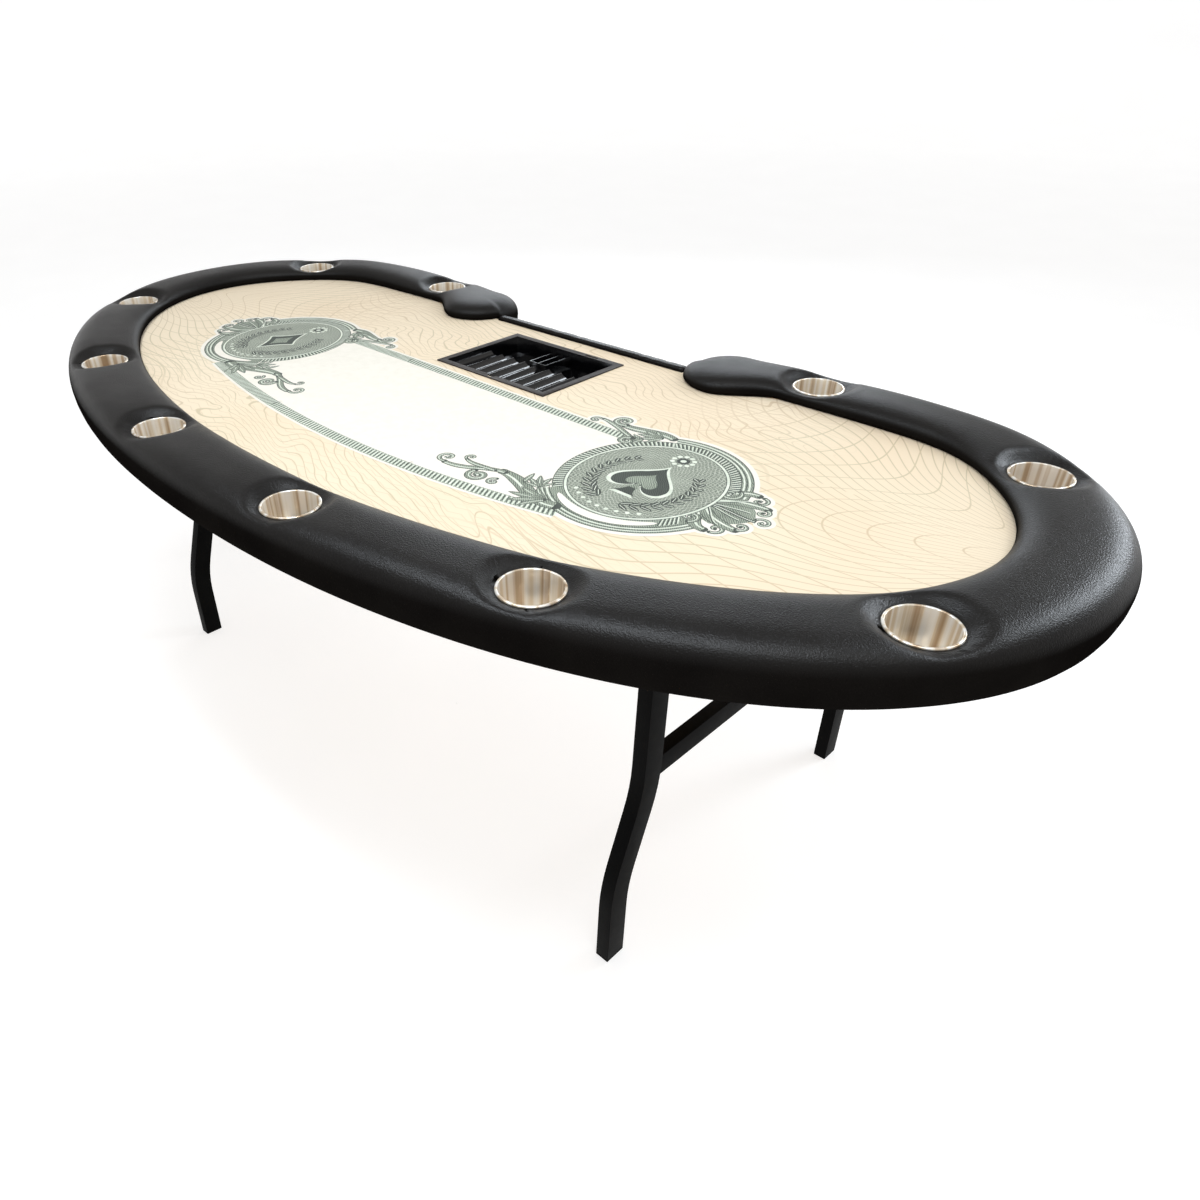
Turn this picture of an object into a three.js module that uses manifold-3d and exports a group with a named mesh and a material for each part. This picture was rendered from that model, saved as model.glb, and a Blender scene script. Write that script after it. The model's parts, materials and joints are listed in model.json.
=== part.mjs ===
// Folding poker table: padded vinyl rail with ten drop-in cup holders, a dealer cut-out with a
// chip tray, a printed cloth, and two pairs of folding legs held by two-part stays.
// Millimetres, +Z up. The origin is on the floor under the middle of the whole table's box,
// +X runs along the table and +Y points to the dealer's side.
import * as THREE from 'three';
import { mergeVertices } from 'three/addons/utils/BufferGeometryUtils.js';
import Module from 'manifold-3d';

const wasm = await Module();
wasm.setup();

// ---------- driving dimensions ----------
// Plan sizes are measured from the middle of the oval, heights from the floor.

const GAP = 0.3; // between pieces that touch

const outerEdge = { halfLength: 1106, halfWidth: 622, power: 2.09, dealerReach: 434, blend: 9 };
const innerEdge = { halfLength: 964, halfWidth: 484, power: 2.01, dealerReach: 300, blend: 12 };
const railEnd = { x: 345, y: 328, radius: 89, flare: 120 }; // round end of the rail beside the dealer
const dealerEdgeY = 306; // straight edge of the deck between the two rail ends

const cushion = { bottom: 676, top: 764, rollHeight: 34, rollWidth: 30, sidePad: 14 };
const deck = { bottom: 704, top: 722 };
const stiffener = {
  thickness: 18, insideRail: 15, dealerY: 248,
  pad: [46, 24], // half size of the part that carries a hinge bracket on the players' side
};
const railCore = { thickness: 18 };
const foam = { thickness: 4 };
const cloth = { thickness: 1.4 };

const cup = {
  rimRadius: 44.5, rimTop: 745.5, rimHeight: 2.9, bodyRadius: 41.5, baseRadius: 38.5, depth: 67, wall: 1.2,
};
const cupPlaces = [[500, 364], [911, 264], [964, -210], [598, -456], [201, -538]]; // mirrored to -X

const tray = {
  halfWidth: 147, front: 30, back: 256, // outside of the flange
  flange: 12, flangeThickness: 2, wall: 2, bottom: 690,
  troughDepth: 34, troughFront: 165,
  grooves: 8, grooveRadius: 20.5, crestDrop: 12, notchRadius: 10,
  liftSlot: [56, 86, 5], // from x, to x, width
};
const trayDivider = { halfWidth: 22, plate: 2, top: 722, clearance: 1.5 };
const trim = { width: 15, lip: 7, top: 737, halfLength: 253, edgeRound: 7 };

const leg = {
  x: 668, pivotZ: 655, tubeX: 25, tubeY: 40, wall: 1.6,
  topY: 285, bendHighZ: 345, bendLowZ: 165, footY: 343, bendRadius: 45,
};
const pivotBar = { radius: 9.5, halfLength: 348 };
const crossbar = { z: 380, height: 38, width: 22 };
const footCap = { sole: 4, plug: 26, fit: 0.8 };
const hingeBracket = { y: 326, base: [70, 34], ear: 4, earSpread: 24, earHalfWidth: 15 };
const stay = {
  deckX: 218, deckZ: 668, // pivot under the deck
  legOffset: 21, // pivot on the crossbar, towards the table's middle
  halfWidth: 8, thickness: 4, split: 0.4, pinRadius: 4, holeRadius: 4.5,
};
const stayBracket = { base: [46, 40], ear: 3, earInside: 5.2 };
const batten = { width: 60, front: -449 };

// ---------- materials ----------

const paint = (name, color, roughness, metalness) =>
  Object.assign(new THREE.MeshStandardMaterial({ color, roughness, metalness }), { name });
const vinyl = paint('vinyl', 0x141416, 0.5, 0);
const plywood = paint('plywood', 0xb08a5a, 0.75, 0);
const padding = paint('padding', 0x8d8f92, 0.95, 0);
const printedCloth = paint('printed_cloth', 0xf8e9cc, 0.9, 0);
const steel = paint('steel', 0xc9c7c2, 0.22, 1);
const trayPlastic = paint('tray_plastic', 0x1b1a1a, 0.4, 0);
const legPaint = paint('leg_paint', 0x101011, 0.45, 0.2);
const bracketSteel = paint('bracket_steel', 0x8b8e92, 0.4, 0.9);
const rubber = paint('rubber', 0x0d0d0e, 0.8, 0);

// ---------- solids and booleans ----------

function solidOf(geometry) {
  const bare = geometry.clone();
  bare.deleteAttribute('normal');
  bare.deleteAttribute('uv');
  const merged = mergeVertices(bare, 1e-4);
  const mesh = new wasm.Mesh({
    numProp: 3,
    vertProperties: new Float32Array(merged.attributes.position.array),
    triVerts: new Uint32Array(merged.index.array),
  });
  return new wasm.Manifold(mesh);
}

function geometryOf(solid) {
  const mesh = solid.getMesh();
  const geometry = new THREE.BufferGeometry();
  geometry.setAttribute('position', new THREE.BufferAttribute(mesh.vertProperties, 3));
  geometry.setIndex(new THREE.BufferAttribute(mesh.triVerts, 1));
  geometry.computeVertexNormals();
  return geometry;
}

const join = (first, ...others) => others.reduce((sum, other) => sum.add(other), first);
const cut = (first, ...others) => others.reduce((rest, other) => rest.subtract(other), first);

// A closed outline in plan, pulled up between two heights.
function prism(outline, low, high) {
  const depth = high - low;
  const geometry = new THREE.ExtrudeGeometry(new THREE.Shape(outline), { depth, bevelEnabled: false });
  return solidOf(geometry.translate(0, 0, low));
}

function block([x0, y0, z0], [x1, y1, z1]) {
  const geometry = new THREE.BoxGeometry(x1 - x0, y1 - y0, z1 - z0);
  return solidOf(geometry.translate((x0 + x1) / 2, (y0 + y1) / 2, (z0 + z1) / 2));
}

// Turns an outline drawn as (y, z) and pulled out along the third axis, so that it runs along X.
const alongX = new THREE.Matrix4().set(0, 0, 1, 0, 1, 0, 0, 0, 0, 1, 0, 0, 0, 0, 0, 1);

function uprightCylinder(x, y, radius, low, high, sides) {
  const geometry = new THREE.CylinderGeometry(radius, radius, high - low, sides);
  return solidOf(geometry.rotateX(Math.PI / 2).translate(x, y, (low + high) / 2));
}

function cylinderAlongY(x, z, radius, y0, y1, sides) {
  const geometry = new THREE.CylinderGeometry(radius, radius, y1 - y0, sides);
  return solidOf(geometry.translate(x, (y0 + y1) / 2, z));
}

// An outline in the X-Z plane, pulled out along Y between y0 and y1.
function slabAcrossY(outline, y0, y1) {
  const depth = y1 - y0;
  const geometry = new THREE.ExtrudeGeometry(new THREE.Shape(outline), { depth, bevelEnabled: false });
  return solidOf(geometry.rotateX(Math.PI / 2).translate(0, y1, 0));
}

// ---------- plan outlines ----------

const point = (x, y) => new THREE.Vector2(x, y);
const smoothStep = (t) => THREE.MathUtils.smoothstep(t, 0, 1);

// A superellipse whose dealer side is flattened towards a straight line.
function ovalPoint(edge, angle) {
  const stretch = (value) => Math.sign(value) * Math.abs(value) ** (2 / edge.power);
  const x = edge.halfLength * stretch(Math.cos(angle));
  const y = edge.halfWidth * stretch(Math.sin(angle));
  if (y <= 0) return point(x, y);
  return point(x, y / (1 + (y / edge.dealerReach) ** edge.blend) ** (1 / edge.blend));
}

// The +X half of an edge from the players' side to the rail end, where it flares into endY.
function halfEdge(edge, endY, segments) {
  const dense = [];
  const samples = 400;
  for (let i = 0; i <= samples; i += 1) {
    const p = ovalPoint(edge, -Math.PI / 2 + (Math.PI * i) / samples);
    if (p.y > 0 && p.x < railEnd.x) break;
    if (p.y > 0) {
      const t = smoothStep((p.x - railEnd.x) / railEnd.flare);
      p.y = THREE.MathUtils.lerp(endY, p.y, t);
    }
    dense.push(p);
  }
  dense.push(point(railEnd.x, endY));
  return new THREE.SplineCurve(dense).getSpacedPoints(segments);
}

function railEndArc(segments) {
  const { x, y, radius } = railEnd;
  const points = [];
  for (let i = 1; i < segments; i += 1) {
    const angle = Math.PI / 2 + (Math.PI * i) / segments;
    points.push(point(x + radius * Math.cos(angle), y + radius * Math.sin(angle)));
  }
  return points;
}

// The +X half of the rail: outer edge, round end and inner edge, ending on the table's middle line.
const halfRail = [
  ...halfEdge(outerEdge, railEnd.y + railEnd.radius, 26),
  ...railEndArc(8),
  ...halfEdge(innerEdge, railEnd.y - railEnd.radius, 24).reverse(),
];

const mirrored = (points) => points.map((p) => point(-p.x, p.y)).reverse();

// Every point of the +X half moved sideways into the rail's body by the inset.
function insetHalfRail(inset) {
  return halfRail.map((p, i) => {
    const before = halfRail[i - 1] ?? point(-halfRail[1].x, halfRail[1].y);
    const after = halfRail[i + 1] ?? point(-halfRail[i - 1].x, halfRail[i - 1].y);
    const along = after.clone().sub(before).normalize();
    return point(p.x - along.y * inset, p.y + along.x * inset);
  });
}

const closeMirrored = (half) => [...half, ...mirrored(half).filter((p) => Math.abs(p.x) > 1e-6)];

function railOutline(inset) {
  return closeMirrored(insetHalfRail(inset));
}

// Where the side of the rail end crosses a line of constant y.
function sideCrossing(half, lineY) {
  const index = half.findIndex((p, i) => i > 0 && p.x < railEnd.x && p.y < lineY && half[i - 1].y >= lineY);
  const [a, b] = [half[index - 1], half[index]];
  return { index, at: a.clone().lerp(b, (a.y - lineY) / (a.y - b.y)) };
}

// Everything inside the rail's outer edge, closed by a straight line on the dealer's side.
function outlineFromOuterEdge(inset, lineY) {
  const half = insetHalfRail(inset);
  const crossing = sideCrossing(half, lineY);
  return closeMirrored([...half.slice(0, crossing.index), crossing.at]);
}

// Everything inside the rail's inner edge, closed by the same kind of line.
function outlineFromInnerEdge(inset, lineY) {
  const half = insetHalfRail(inset);
  const crossing = sideCrossing(half, lineY);
  return closeMirrored([...half.slice(crossing.index).reverse(), crossing.at]);
}

// ---------- heights that follow from the driving dimensions ----------

const coreBottom = deck.top + GAP;
const coreTop = coreBottom + railCore.thickness;
const foamTop = deck.top + GAP + foam.thickness;
const clothTop = foamTop + GAP + cloth.thickness;
const stiffenerTop = deck.bottom - GAP;
const stiffenerBottom = stiffenerTop - stiffener.thickness;
const cupSeat = cup.rimTop - cup.rimHeight;
const allCupPlaces = [...cupPlaces, ...cupPlaces.map(([x, y]) => [-x, y])];

// ---------- table top ----------

const CUP_HOLE_SIDES = 12;
const cupHoleRadius = (cup.bodyRadius + 0.8) / Math.cos(Math.PI / CUP_HOLE_SIDES);

function withCupHoles(solid, low, high) {
  const holes = allCupPlaces.map(([x, y]) => uprightCylinder(x, y, cupHoleRadius, low, high, CUP_HOLE_SIDES));
  return cut(solid, ...holes);
}

function trayCutOut(low, high) {
  const inset = tray.flange - 1.5;
  const x = tray.halfWidth - inset;
  return block([-x, tray.front + inset, low], [x, tray.back - inset, high]);
}

function deckBoard() {
  const board = prism(outlineFromOuterEdge(cushion.sidePad, dealerEdgeY), deck.bottom, deck.top);
  return withCupHoles(cut(board, trayCutOut(deck.bottom - 1, deck.top + 1)), deck.bottom - 1, deck.top + 1);
}

function edgeStiffener() {
  const ring = prism(outlineFromOuterEdge(cushion.sidePad, dealerEdgeY), stiffenerBottom, stiffenerTop);
  const [low, high] = [stiffenerBottom - 1, stiffenerTop + 1];
  const inside = prism(outlineFromInnerEdge(-stiffener.insideRail, stiffener.dealerY), low, high);
  const [padX, padY] = stiffener.pad;
  const pads = [-1, 1].map((side) => block(
    [side * leg.x - padX, -hingeBracket.y - padY, low],
    [side * leg.x + padX, -hingeBracket.y + padY, high],
  ));
  return withCupHoles(cut(ring, cut(inside, ...pads)), low, high);
}

function railCoreBoard() {
  const board = prism(railOutline(cushion.sidePad), coreBottom, coreTop);
  return withCupHoles(board, coreBottom - 1, coreTop + 1);
}

function sheetInsideRail(low, high) {
  const outline = outlineFromInnerEdge(cushion.sidePad - GAP, dealerEdgeY);
  return cut(prism(outline, low, high), trayCutOut(low - 1, high + 1));
}

// The upholstered ring: round rolls along both edges, hollow where the boards run,
// and a round pocket above each cup holder.
function railCushion() {
  const { bottom, top, rollHeight, rollWidth, sidePad } = cushion;
  const body = new THREE.ExtrudeGeometry(new THREE.Shape(railOutline(0)), {
    depth: top - bottom - 2 * rollHeight,
    bevelThickness: rollHeight,
    bevelSize: rollWidth,
    bevelOffset: -rollWidth,
    bevelSegments: 2,
  });
  const roll = solidOf(body.translate(0, 0, bottom + rollHeight));
  const boardEdge = outlineFromOuterEdge(sidePad - GAP, dealerEdgeY + GAP);
  const overBoards = prism(boardEdge, bottom - 1, clothTop + GAP);
  const overCore = prism(railOutline(sidePad - GAP), clothTop - 1, coreTop + GAP);
  const pocketRadius = cup.rimRadius + 2;
  const pocketFloor = cupSeat - GAP;
  const pockets = allCupPlaces.map(([x, y]) => uprightCylinder(x, y, pocketRadius, pocketFloor, top + 1, 18));
  const hollow = cut(roll, overBoards, overCore, ...pockets);
  return withCupHoles(hollow, coreTop - 1, cupSeat + 1);
}

// A rounded strip that caps the deck's edge in front of the dealer.
function dealerTrim() {
  const outerY = dealerEdgeY + GAP + trim.width;
  const innerY = dealerEdgeY - trim.lip;
  const shape = new THREE.Shape();
  shape.moveTo(dealerEdgeY + GAP, stiffenerBottom);
  shape.lineTo(outerY, stiffenerBottom);
  shape.lineTo(outerY, trim.top - trim.edgeRound);
  shape.quadraticCurveTo(outerY, trim.top, outerY - trim.edgeRound, trim.top);
  shape.lineTo(innerY + trim.edgeRound, trim.top);
  shape.quadraticCurveTo(innerY, trim.top, innerY, trim.top - trim.edgeRound);
  shape.lineTo(innerY, clothTop + GAP);
  shape.lineTo(dealerEdgeY + GAP, clothTop + GAP);
  const strip = new THREE.ExtrudeGeometry(shape, {
    depth: 2 * trim.halfLength, bevelEnabled: false, curveSegments: 4,
  });
  return solidOf(strip.applyMatrix4(alongX).translate(-trim.halfLength, 0, 0));
}

// A spun steel cup with a rolled rim that rests on the cushion.
function cupHolder([x, y]) {
  const { rimRadius, rimTop, bodyRadius, baseRadius, depth, wall } = cup;
  const base = rimTop - depth;
  const corner = 1.5;
  const profile = [
    point(0, base),
    point(baseRadius - corner, base),
    point(baseRadius, base + corner),
    point(bodyRadius, cupSeat),
    point(rimRadius, cupSeat),
    point(rimRadius, rimTop),
    point(bodyRadius - wall, rimTop),
    point(baseRadius - wall, base + corner),
    point(baseRadius - wall - corner, base + wall),
    point(0, base + wall),
  ];
  const shell = new THREE.LatheGeometry(profile, 18).rotateX(Math.PI / 2).translate(x, y, 0);
  return solidOf(shell);
}

// ---------- chip tray ----------

function chipTray() {
  const { halfWidth, front, back, flange, flangeThickness, wall, bottom } = tray;
  const flangeBottom = clothTop + GAP;
  const flangeTop = flangeBottom + flangeThickness;
  const body = [halfWidth - flange, front + flange, back - flange];
  const inside = [body[0] - wall, body[1] + wall, body[2] - wall];
  const shell = join(
    block([-halfWidth, front, flangeBottom], [halfWidth, back, flangeTop]),
    block([-body[0], body[1], bottom], [body[0], body[2], flangeTop - 0.5]),
  );

  const crest = flangeTop - tray.crestDrop;
  const bank = block([-inside[0], inside[1], crest], [inside[0], tray.troughFront, flangeTop + 1]);
  const trough = block(
    [-inside[0], tray.troughFront, flangeTop - tray.troughDepth],
    [inside[0], inside[2], flangeTop + 1],
  );

  const pitch = (2 * inside[0]) / tray.grooves;
  const axisZ = crest + Math.sqrt(tray.grooveRadius ** 2 - (pitch / 2 - 0.6) ** 2);
  const grooves = [];
  for (let i = 0; i < tray.grooves; i += 1) {
    const x = -inside[0] + pitch * (i + 0.5);
    grooves.push(cylinderAlongY(x, axisZ, tray.grooveRadius, inside[1] + 4, tray.troughFront + 1, 24));
  }
  const walls = block([-inside[0], inside[1], bottom], [inside[0], tray.troughFront + 1, flangeTop + 1]);
  const groovesInside = join(...grooves).intersect(walls);

  const fingerNotch = uprightCylinder(0, inside[1], tray.notchRadius, crest - 6, flangeTop + 1, 20);
  const [slotX0, slotX1, slotWidth] = tray.liftSlot;
  const slotY = body[2] + 2;
  const liftSlot = block([slotX0, slotY, flangeBottom - 1], [slotX1, slotY + slotWidth, flangeTop + 1]);
  return cut(shell, bank, trough, groovesInside, fingerNotch, liftSlot);
}

// Upright plates in the middle of the trough that hold cards and buttons.
function cardDivider() {
  const { halfWidth, plate, top, clearance } = trayDivider;
  const floor = clothTop + GAP + tray.flangeThickness - tray.troughDepth + GAP;
  const y0 = tray.troughFront + clearance;
  const y1 = tray.back - tray.flange - tray.wall - clearance;
  const places = [-halfWidth, -plate / 2, halfWidth - plate];
  const uprights = places.map((x) => block([x, y0, floor], [x + plate, y1, top]));
  return join(
    block([-halfWidth, y0, floor], [halfWidth, y1, floor + plate]),
    block([-halfWidth, y0, floor], [halfWidth, y0 + plate, top]),
    ...uprights,
  );
}

// ---------- folding legs ----------
// One set is built for the +X end. The -X end is the same set turned half a circle.


// Corners of a path replaced by short curves.
function roundedPath(points, radius) {
  const path = [points[0]];
  for (let i = 1; i < points.length - 1; i += 1) {
    const into = points[i - 1].clone().sub(points[i]).setLength(radius);
    const out = points[i + 1].clone().sub(points[i]).setLength(radius);
    const [start, end] = [points[i].clone().add(into), points[i].clone().add(out)];
    const bend = new THREE.QuadraticBezierCurve(start, points[i], end);
    path.push(...bend.getPoints(4));
  }
  return [...path, points.at(-1)];
}

// Both sides of a path, as one closed outline.
function thickened(path, halfWidth) {
  const sides = path.map((p, i) => {
    const along = (path[i + 1] ?? p).clone().sub(path[i - 1] ?? p).normalize();
    return point(-along.y, along.x).multiplyScalar(halfWidth);
  });
  const left = path.map((p, i) => p.clone().add(sides[i]));
  const right = path.map((p, i) => p.clone().sub(sides[i]));
  return [...right, ...left.reverse()];
}

// An outline in the Y-Z plane, pulled out to both sides of x.
function slabAcrossX(outline, x, halfThickness) {
  const geometry = new THREE.ExtrudeGeometry(new THREE.Shape(outline), {
    depth: 2 * halfThickness, bevelEnabled: false,
  });
  return solidOf(geometry.applyMatrix4(alongX).translate(x - halfThickness, 0, 0));
}

// A bent rectangular tube from the pivot bar to the floor, open at both ends.
function bentLeg(side) {
  const top = leg.pivotZ - pivotBar.radius - GAP;
  const bottom = footCap.sole + GAP;
  const route = (high, low) => roundedPath([
    point(side * leg.topY, high),
    point(side * leg.topY, leg.bendHighZ),
    point(side * leg.footY, leg.bendLowZ),
    point(side * leg.footY, low),
  ], leg.bendRadius);
  const outside = slabAcrossX(thickened(route(top, bottom), leg.tubeY / 2), leg.x, leg.tubeX / 2);
  const hollow = thickened(route(top + 1, bottom - 1), leg.tubeY / 2 - leg.wall);
  return cut(outside, slabAcrossX(hollow, leg.x, leg.tubeX / 2 - leg.wall));
}

function pivotBarSolid() {
  return cylinderAlongY(leg.x, leg.pivotZ, pivotBar.radius, -pivotBar.halfLength, pivotBar.halfLength, 16);
}

// A rectangular tube between the two legs.
function crossbarTube() {
  const { z } = crossbar;
  const end = leg.topY - leg.tubeY / 2 - GAP;
  const tube = (halfX, halfZ, y) => block([leg.x - halfX, -y, z - halfZ], [leg.x + halfX, y, z + halfZ]);
  const inside = tube(crossbar.width / 2 - leg.wall, crossbar.height / 2 - leg.wall, end + 1);
  return cut(tube(crossbar.width / 2, crossbar.height / 2, end), inside);
}

// A sole as wide as the tube, with a plug that is pushed up into it.
function footCapSolid(side) {
  const y = side * leg.footY;
  const inset = leg.wall + footCap.fit;
  const layer = (shrink, low, high) => block(
    [leg.x - leg.tubeX / 2 + shrink, y - leg.tubeY / 2 + shrink, low],
    [leg.x + leg.tubeX / 2 - shrink, y + leg.tubeY / 2 - shrink, high],
  );
  return join(layer(0, 0, footCap.sole), layer(inset, footCap.sole / 2, footCap.plug));
}

// A rounded ear in the X-Z plane, hanging from topZ around a pin.
function earOutline(x, z, halfWidth, topZ) {
  const ear = new THREE.Shape();
  ear.moveTo(x + halfWidth, topZ);
  ear.lineTo(x - halfWidth, topZ);
  ear.lineTo(x - halfWidth, z);
  ear.absarc(x, z, halfWidth, Math.PI, 2 * Math.PI, false);
  return ear.getPoints(4);
}

// A plate under the deck with two ears that carry one end of the pivot bar.
function hingeBracketSolid(side) {
  const { y, base, ear, earSpread, earHalfWidth } = hingeBracket;
  const top = stiffenerBottom - GAP;
  const plateY = side * y;
  const plate = block(
    [leg.x - base[0] / 2, plateY - base[1] / 2, top - ear],
    [leg.x + base[0] / 2, plateY + base[1] / 2, top],
  );
  const outline = earOutline(leg.x, leg.pivotZ, earHalfWidth, top - ear / 2);
  const ears = [-1, 1].map((end) => {
    const middle = plateY + (end * earSpread) / 2;
    return slabAcrossY(outline, middle - ear / 2, middle + ear / 2);
  });
  const boreRadius = pivotBar.radius + 0.6;
  const bore = cylinderAlongY(leg.x, leg.pivotZ, boreRadius, plateY - base[1], plateY + base[1], 16);
  return cut(join(plate, ...ears), bore);
}

// One ear and a pin on the crossbar's inner face. The pin ends short of the upper stay, which
// passes beside it when the legs fold.
function stayLug() {
  const { pinRadius, legOffset } = stay;
  const { ear, earInside } = stayBracket;
  const x = leg.x - legOffset;
  const face = leg.x - crossbar.width / 2 - GAP;
  const outside = -earInside - ear;
  const plate = block([x - 8, outside, crossbar.z - 9], [face, -earInside, crossbar.z + 9]);
  return join(plate, cylinderAlongY(x, crossbar.z, pinRadius, outside - 2, 0, 12));
}

// A plate under the cross batten with two ears and a pin for the upper stay.
function stayBracketSolid() {
  const { deckX, deckZ, pinRadius } = stay;
  const { base, ear, earInside } = stayBracket;
  const top = stiffenerBottom - GAP;
  const outline = earOutline(deckX, deckZ, 9, top - ear / 2);
  const ears = [-1, 1].map((side) => {
    const y = side * (earInside + ear / 2);
    return slabAcrossY(outline, y - ear / 2, y + ear / 2);
  });
  const reach = earInside + ear + 2;
  return join(
    block([deckX - base[0] / 2, -base[1] / 2, top - ear], [deckX + base[0] / 2, base[1] / 2, top]),
    ...ears,
    cylinderAlongY(deckX, deckZ, pinRadius, -reach, reach, 12),
  );
}

// The two stay parts meet in a knee. They are in line when the legs stand and lie on top of
// each other when the legs are folded, so their lengths follow from those two places.
const lugAtRest = point(leg.x - stay.legOffset, crossbar.z);
const lugFolded = point(leg.x - (leg.pivotZ - crossbar.z), leg.pivotZ + stay.legOffset);
const deckPin = point(stay.deckX, stay.deckZ);
const reachAtRest = deckPin.distanceTo(lugAtRest);
const reachFolded = deckPin.distanceTo(lugFolded);
const upperLength = (reachAtRest + reachFolded) / 2;
const knee = deckPin.clone().lerp(lugAtRest, upperLength / reachAtRest);

// A flat bar with round ends, a hole at its pin and a rivet head at the knee.
function stayBar(pin, y0, y1, rivetY0, rivetY1) {
  const across = knee.clone().sub(pin).normalize();
  const start = Math.atan2(across.y, across.x) + Math.PI / 2;
  const shape = new THREE.Shape();
  shape.absarc(pin.x, pin.y, stay.halfWidth, start, start + Math.PI, false);
  shape.absarc(knee.x, knee.y, stay.halfWidth, start + Math.PI, start + 2 * Math.PI, false);
  const bar = slabAcrossY(shape.getPoints(5), y0, y1);
  const hole = cylinderAlongY(pin.x, pin.y, stay.holeRadius, y0 - 1, y1 + 1, 12);
  return join(cut(bar, hole), cylinderAlongY(knee.x, knee.y, stay.pinRadius + 1, rivetY0, rivetY1, 12));
}

function upperStay() {
  const { split, thickness } = stay;
  return stayBar(deckPin, split, split + thickness, split + thickness / 2, split + thickness + 2);
}

function lowerStay() {
  const { split, thickness } = stay;
  return stayBar(lugAtRest, -split - thickness, -split, -split - thickness - 2, -split - thickness / 2);
}

function crossBatten() {
  const x0 = stay.deckX - batten.width / 2;
  return block([x0, batten.front, stiffenerBottom], [x0 + batten.width, stiffener.dealerY - 1, stiffenerTop]);
}

// ---------- assembly ----------

const table = new THREE.Group();
const outline = new THREE.Box2().setFromPoints(railOutline(0));
table.position.y = -(outline.min.y + outline.max.y) / 2; // brings the box's middle to y = 0

function addPiece(parent, name, solid, material) {
  const piece = new THREE.Mesh(geometryOf(solid), material);
  piece.name = name;
  parent.add(piece);
}

addPiece(table, 'deck_board', deckBoard(), plywood);
addPiece(table, 'edge_stiffener', edgeStiffener(), plywood);
addPiece(table, 'rail_core', railCoreBoard(), plywood);
addPiece(table, 'foam_underlay', sheetInsideRail(deck.top + GAP, foamTop), padding);
addPiece(table, 'playing_cloth', sheetInsideRail(foamTop + GAP, clothTop), printedCloth);
addPiece(table, 'rail_cushion', railCushion(), vinyl);
addPiece(table, 'dealer_trim', dealerTrim(), vinyl);
allCupPlaces.forEach((place, i) => addPiece(table, `cup_holder_${i + 1}`, cupHolder(place), steel));
addPiece(table, 'chip_tray', chipTray(), trayPlastic);
addPiece(table, 'card_divider', cardDivider(), trayPlastic);

function addLegSet(side, turn) {
  const set = new THREE.Group();
  set.rotation.z = turn;
  table.add(set);
  const add = (name, solid, material) => addPiece(set, `${side}_${name}`, solid, material);
  const places = turn === 0 ? ['front', 'back'] : ['back', 'front'];
  places.forEach((place, i) => {
    const across = i === 0 ? -1 : 1;
    add(`${place}_leg`, bentLeg(across), legPaint);
    add(`${place}_foot_cap`, footCapSolid(across), rubber);
    add(`${place}_hinge_bracket`, hingeBracketSolid(across), bracketSteel);
  });
  add('pivot_bar', pivotBarSolid(), bracketSteel);
  add('leg_crossbar', crossbarTube(), legPaint);
  add('stay_lug', stayLug(), legPaint);
  add('stay_bracket', stayBracketSolid(), bracketSteel);
  add('upper_stay', upperStay(), bracketSteel);
  add('lower_stay', lowerStay(), bracketSteel);
}

addLegSet('right', 0);
addLegSet('left', Math.PI);
[['right', 1], ['left', -1]].forEach(([side, sign]) => {
  const solid = sign > 0 ? crossBatten() : crossBatten().mirror([1, 0, 0]);
  addPiece(table, `${side}_cross_batten`, solid, plywood);
});

export default table;
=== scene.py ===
"""The looks of the folding poker table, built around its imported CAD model.

Plan sizes repeat the CAD model's driving dimensions, in metres, measured from the middle of the
oval. MIDDLE_Y moves them into the row frame. Heights and places of hardware come from the frame.
"""

import json
import random
from math import acos, asin, atan2, cos, pi, radians, sin

import bmesh
import bpy
import numpy as np
from mathutils import Matrix, Vector
from mathutils.geometry import delaunay_2d_cdt
from numpy import arange, array, column_stack, concatenate, full, hypot, linspace, stack, zeros


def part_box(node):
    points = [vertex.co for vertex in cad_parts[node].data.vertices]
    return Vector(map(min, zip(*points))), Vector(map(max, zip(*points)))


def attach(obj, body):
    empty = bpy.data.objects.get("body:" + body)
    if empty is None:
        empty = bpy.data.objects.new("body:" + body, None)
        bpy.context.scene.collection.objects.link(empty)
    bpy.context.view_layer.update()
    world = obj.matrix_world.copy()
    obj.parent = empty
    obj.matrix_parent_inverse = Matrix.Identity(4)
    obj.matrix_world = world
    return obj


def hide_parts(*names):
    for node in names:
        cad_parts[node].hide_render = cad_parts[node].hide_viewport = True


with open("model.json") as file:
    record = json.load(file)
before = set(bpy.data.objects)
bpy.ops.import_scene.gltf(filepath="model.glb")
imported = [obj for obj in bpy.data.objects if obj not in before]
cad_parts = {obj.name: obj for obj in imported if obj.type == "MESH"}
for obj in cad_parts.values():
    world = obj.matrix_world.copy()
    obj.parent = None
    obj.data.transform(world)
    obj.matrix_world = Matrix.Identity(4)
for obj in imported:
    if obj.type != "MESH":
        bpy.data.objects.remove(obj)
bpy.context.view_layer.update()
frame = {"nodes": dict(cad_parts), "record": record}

TOP = "table_top"


# ---------- sizes ----------

def middle_y(node):
    low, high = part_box(node)
    return (low.y + high.y) / 2


MIDDLE_Y = middle_y("right_pivot_bar")
CLOTH_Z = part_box("playing_cloth")[1].z
CROWN_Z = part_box("rail_cushion")[1].z - 0.0035
STIFFENER_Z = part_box("edge_stiffener")[0].z
CUP_RIM_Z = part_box("cup_holder_1")[1].z

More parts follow.
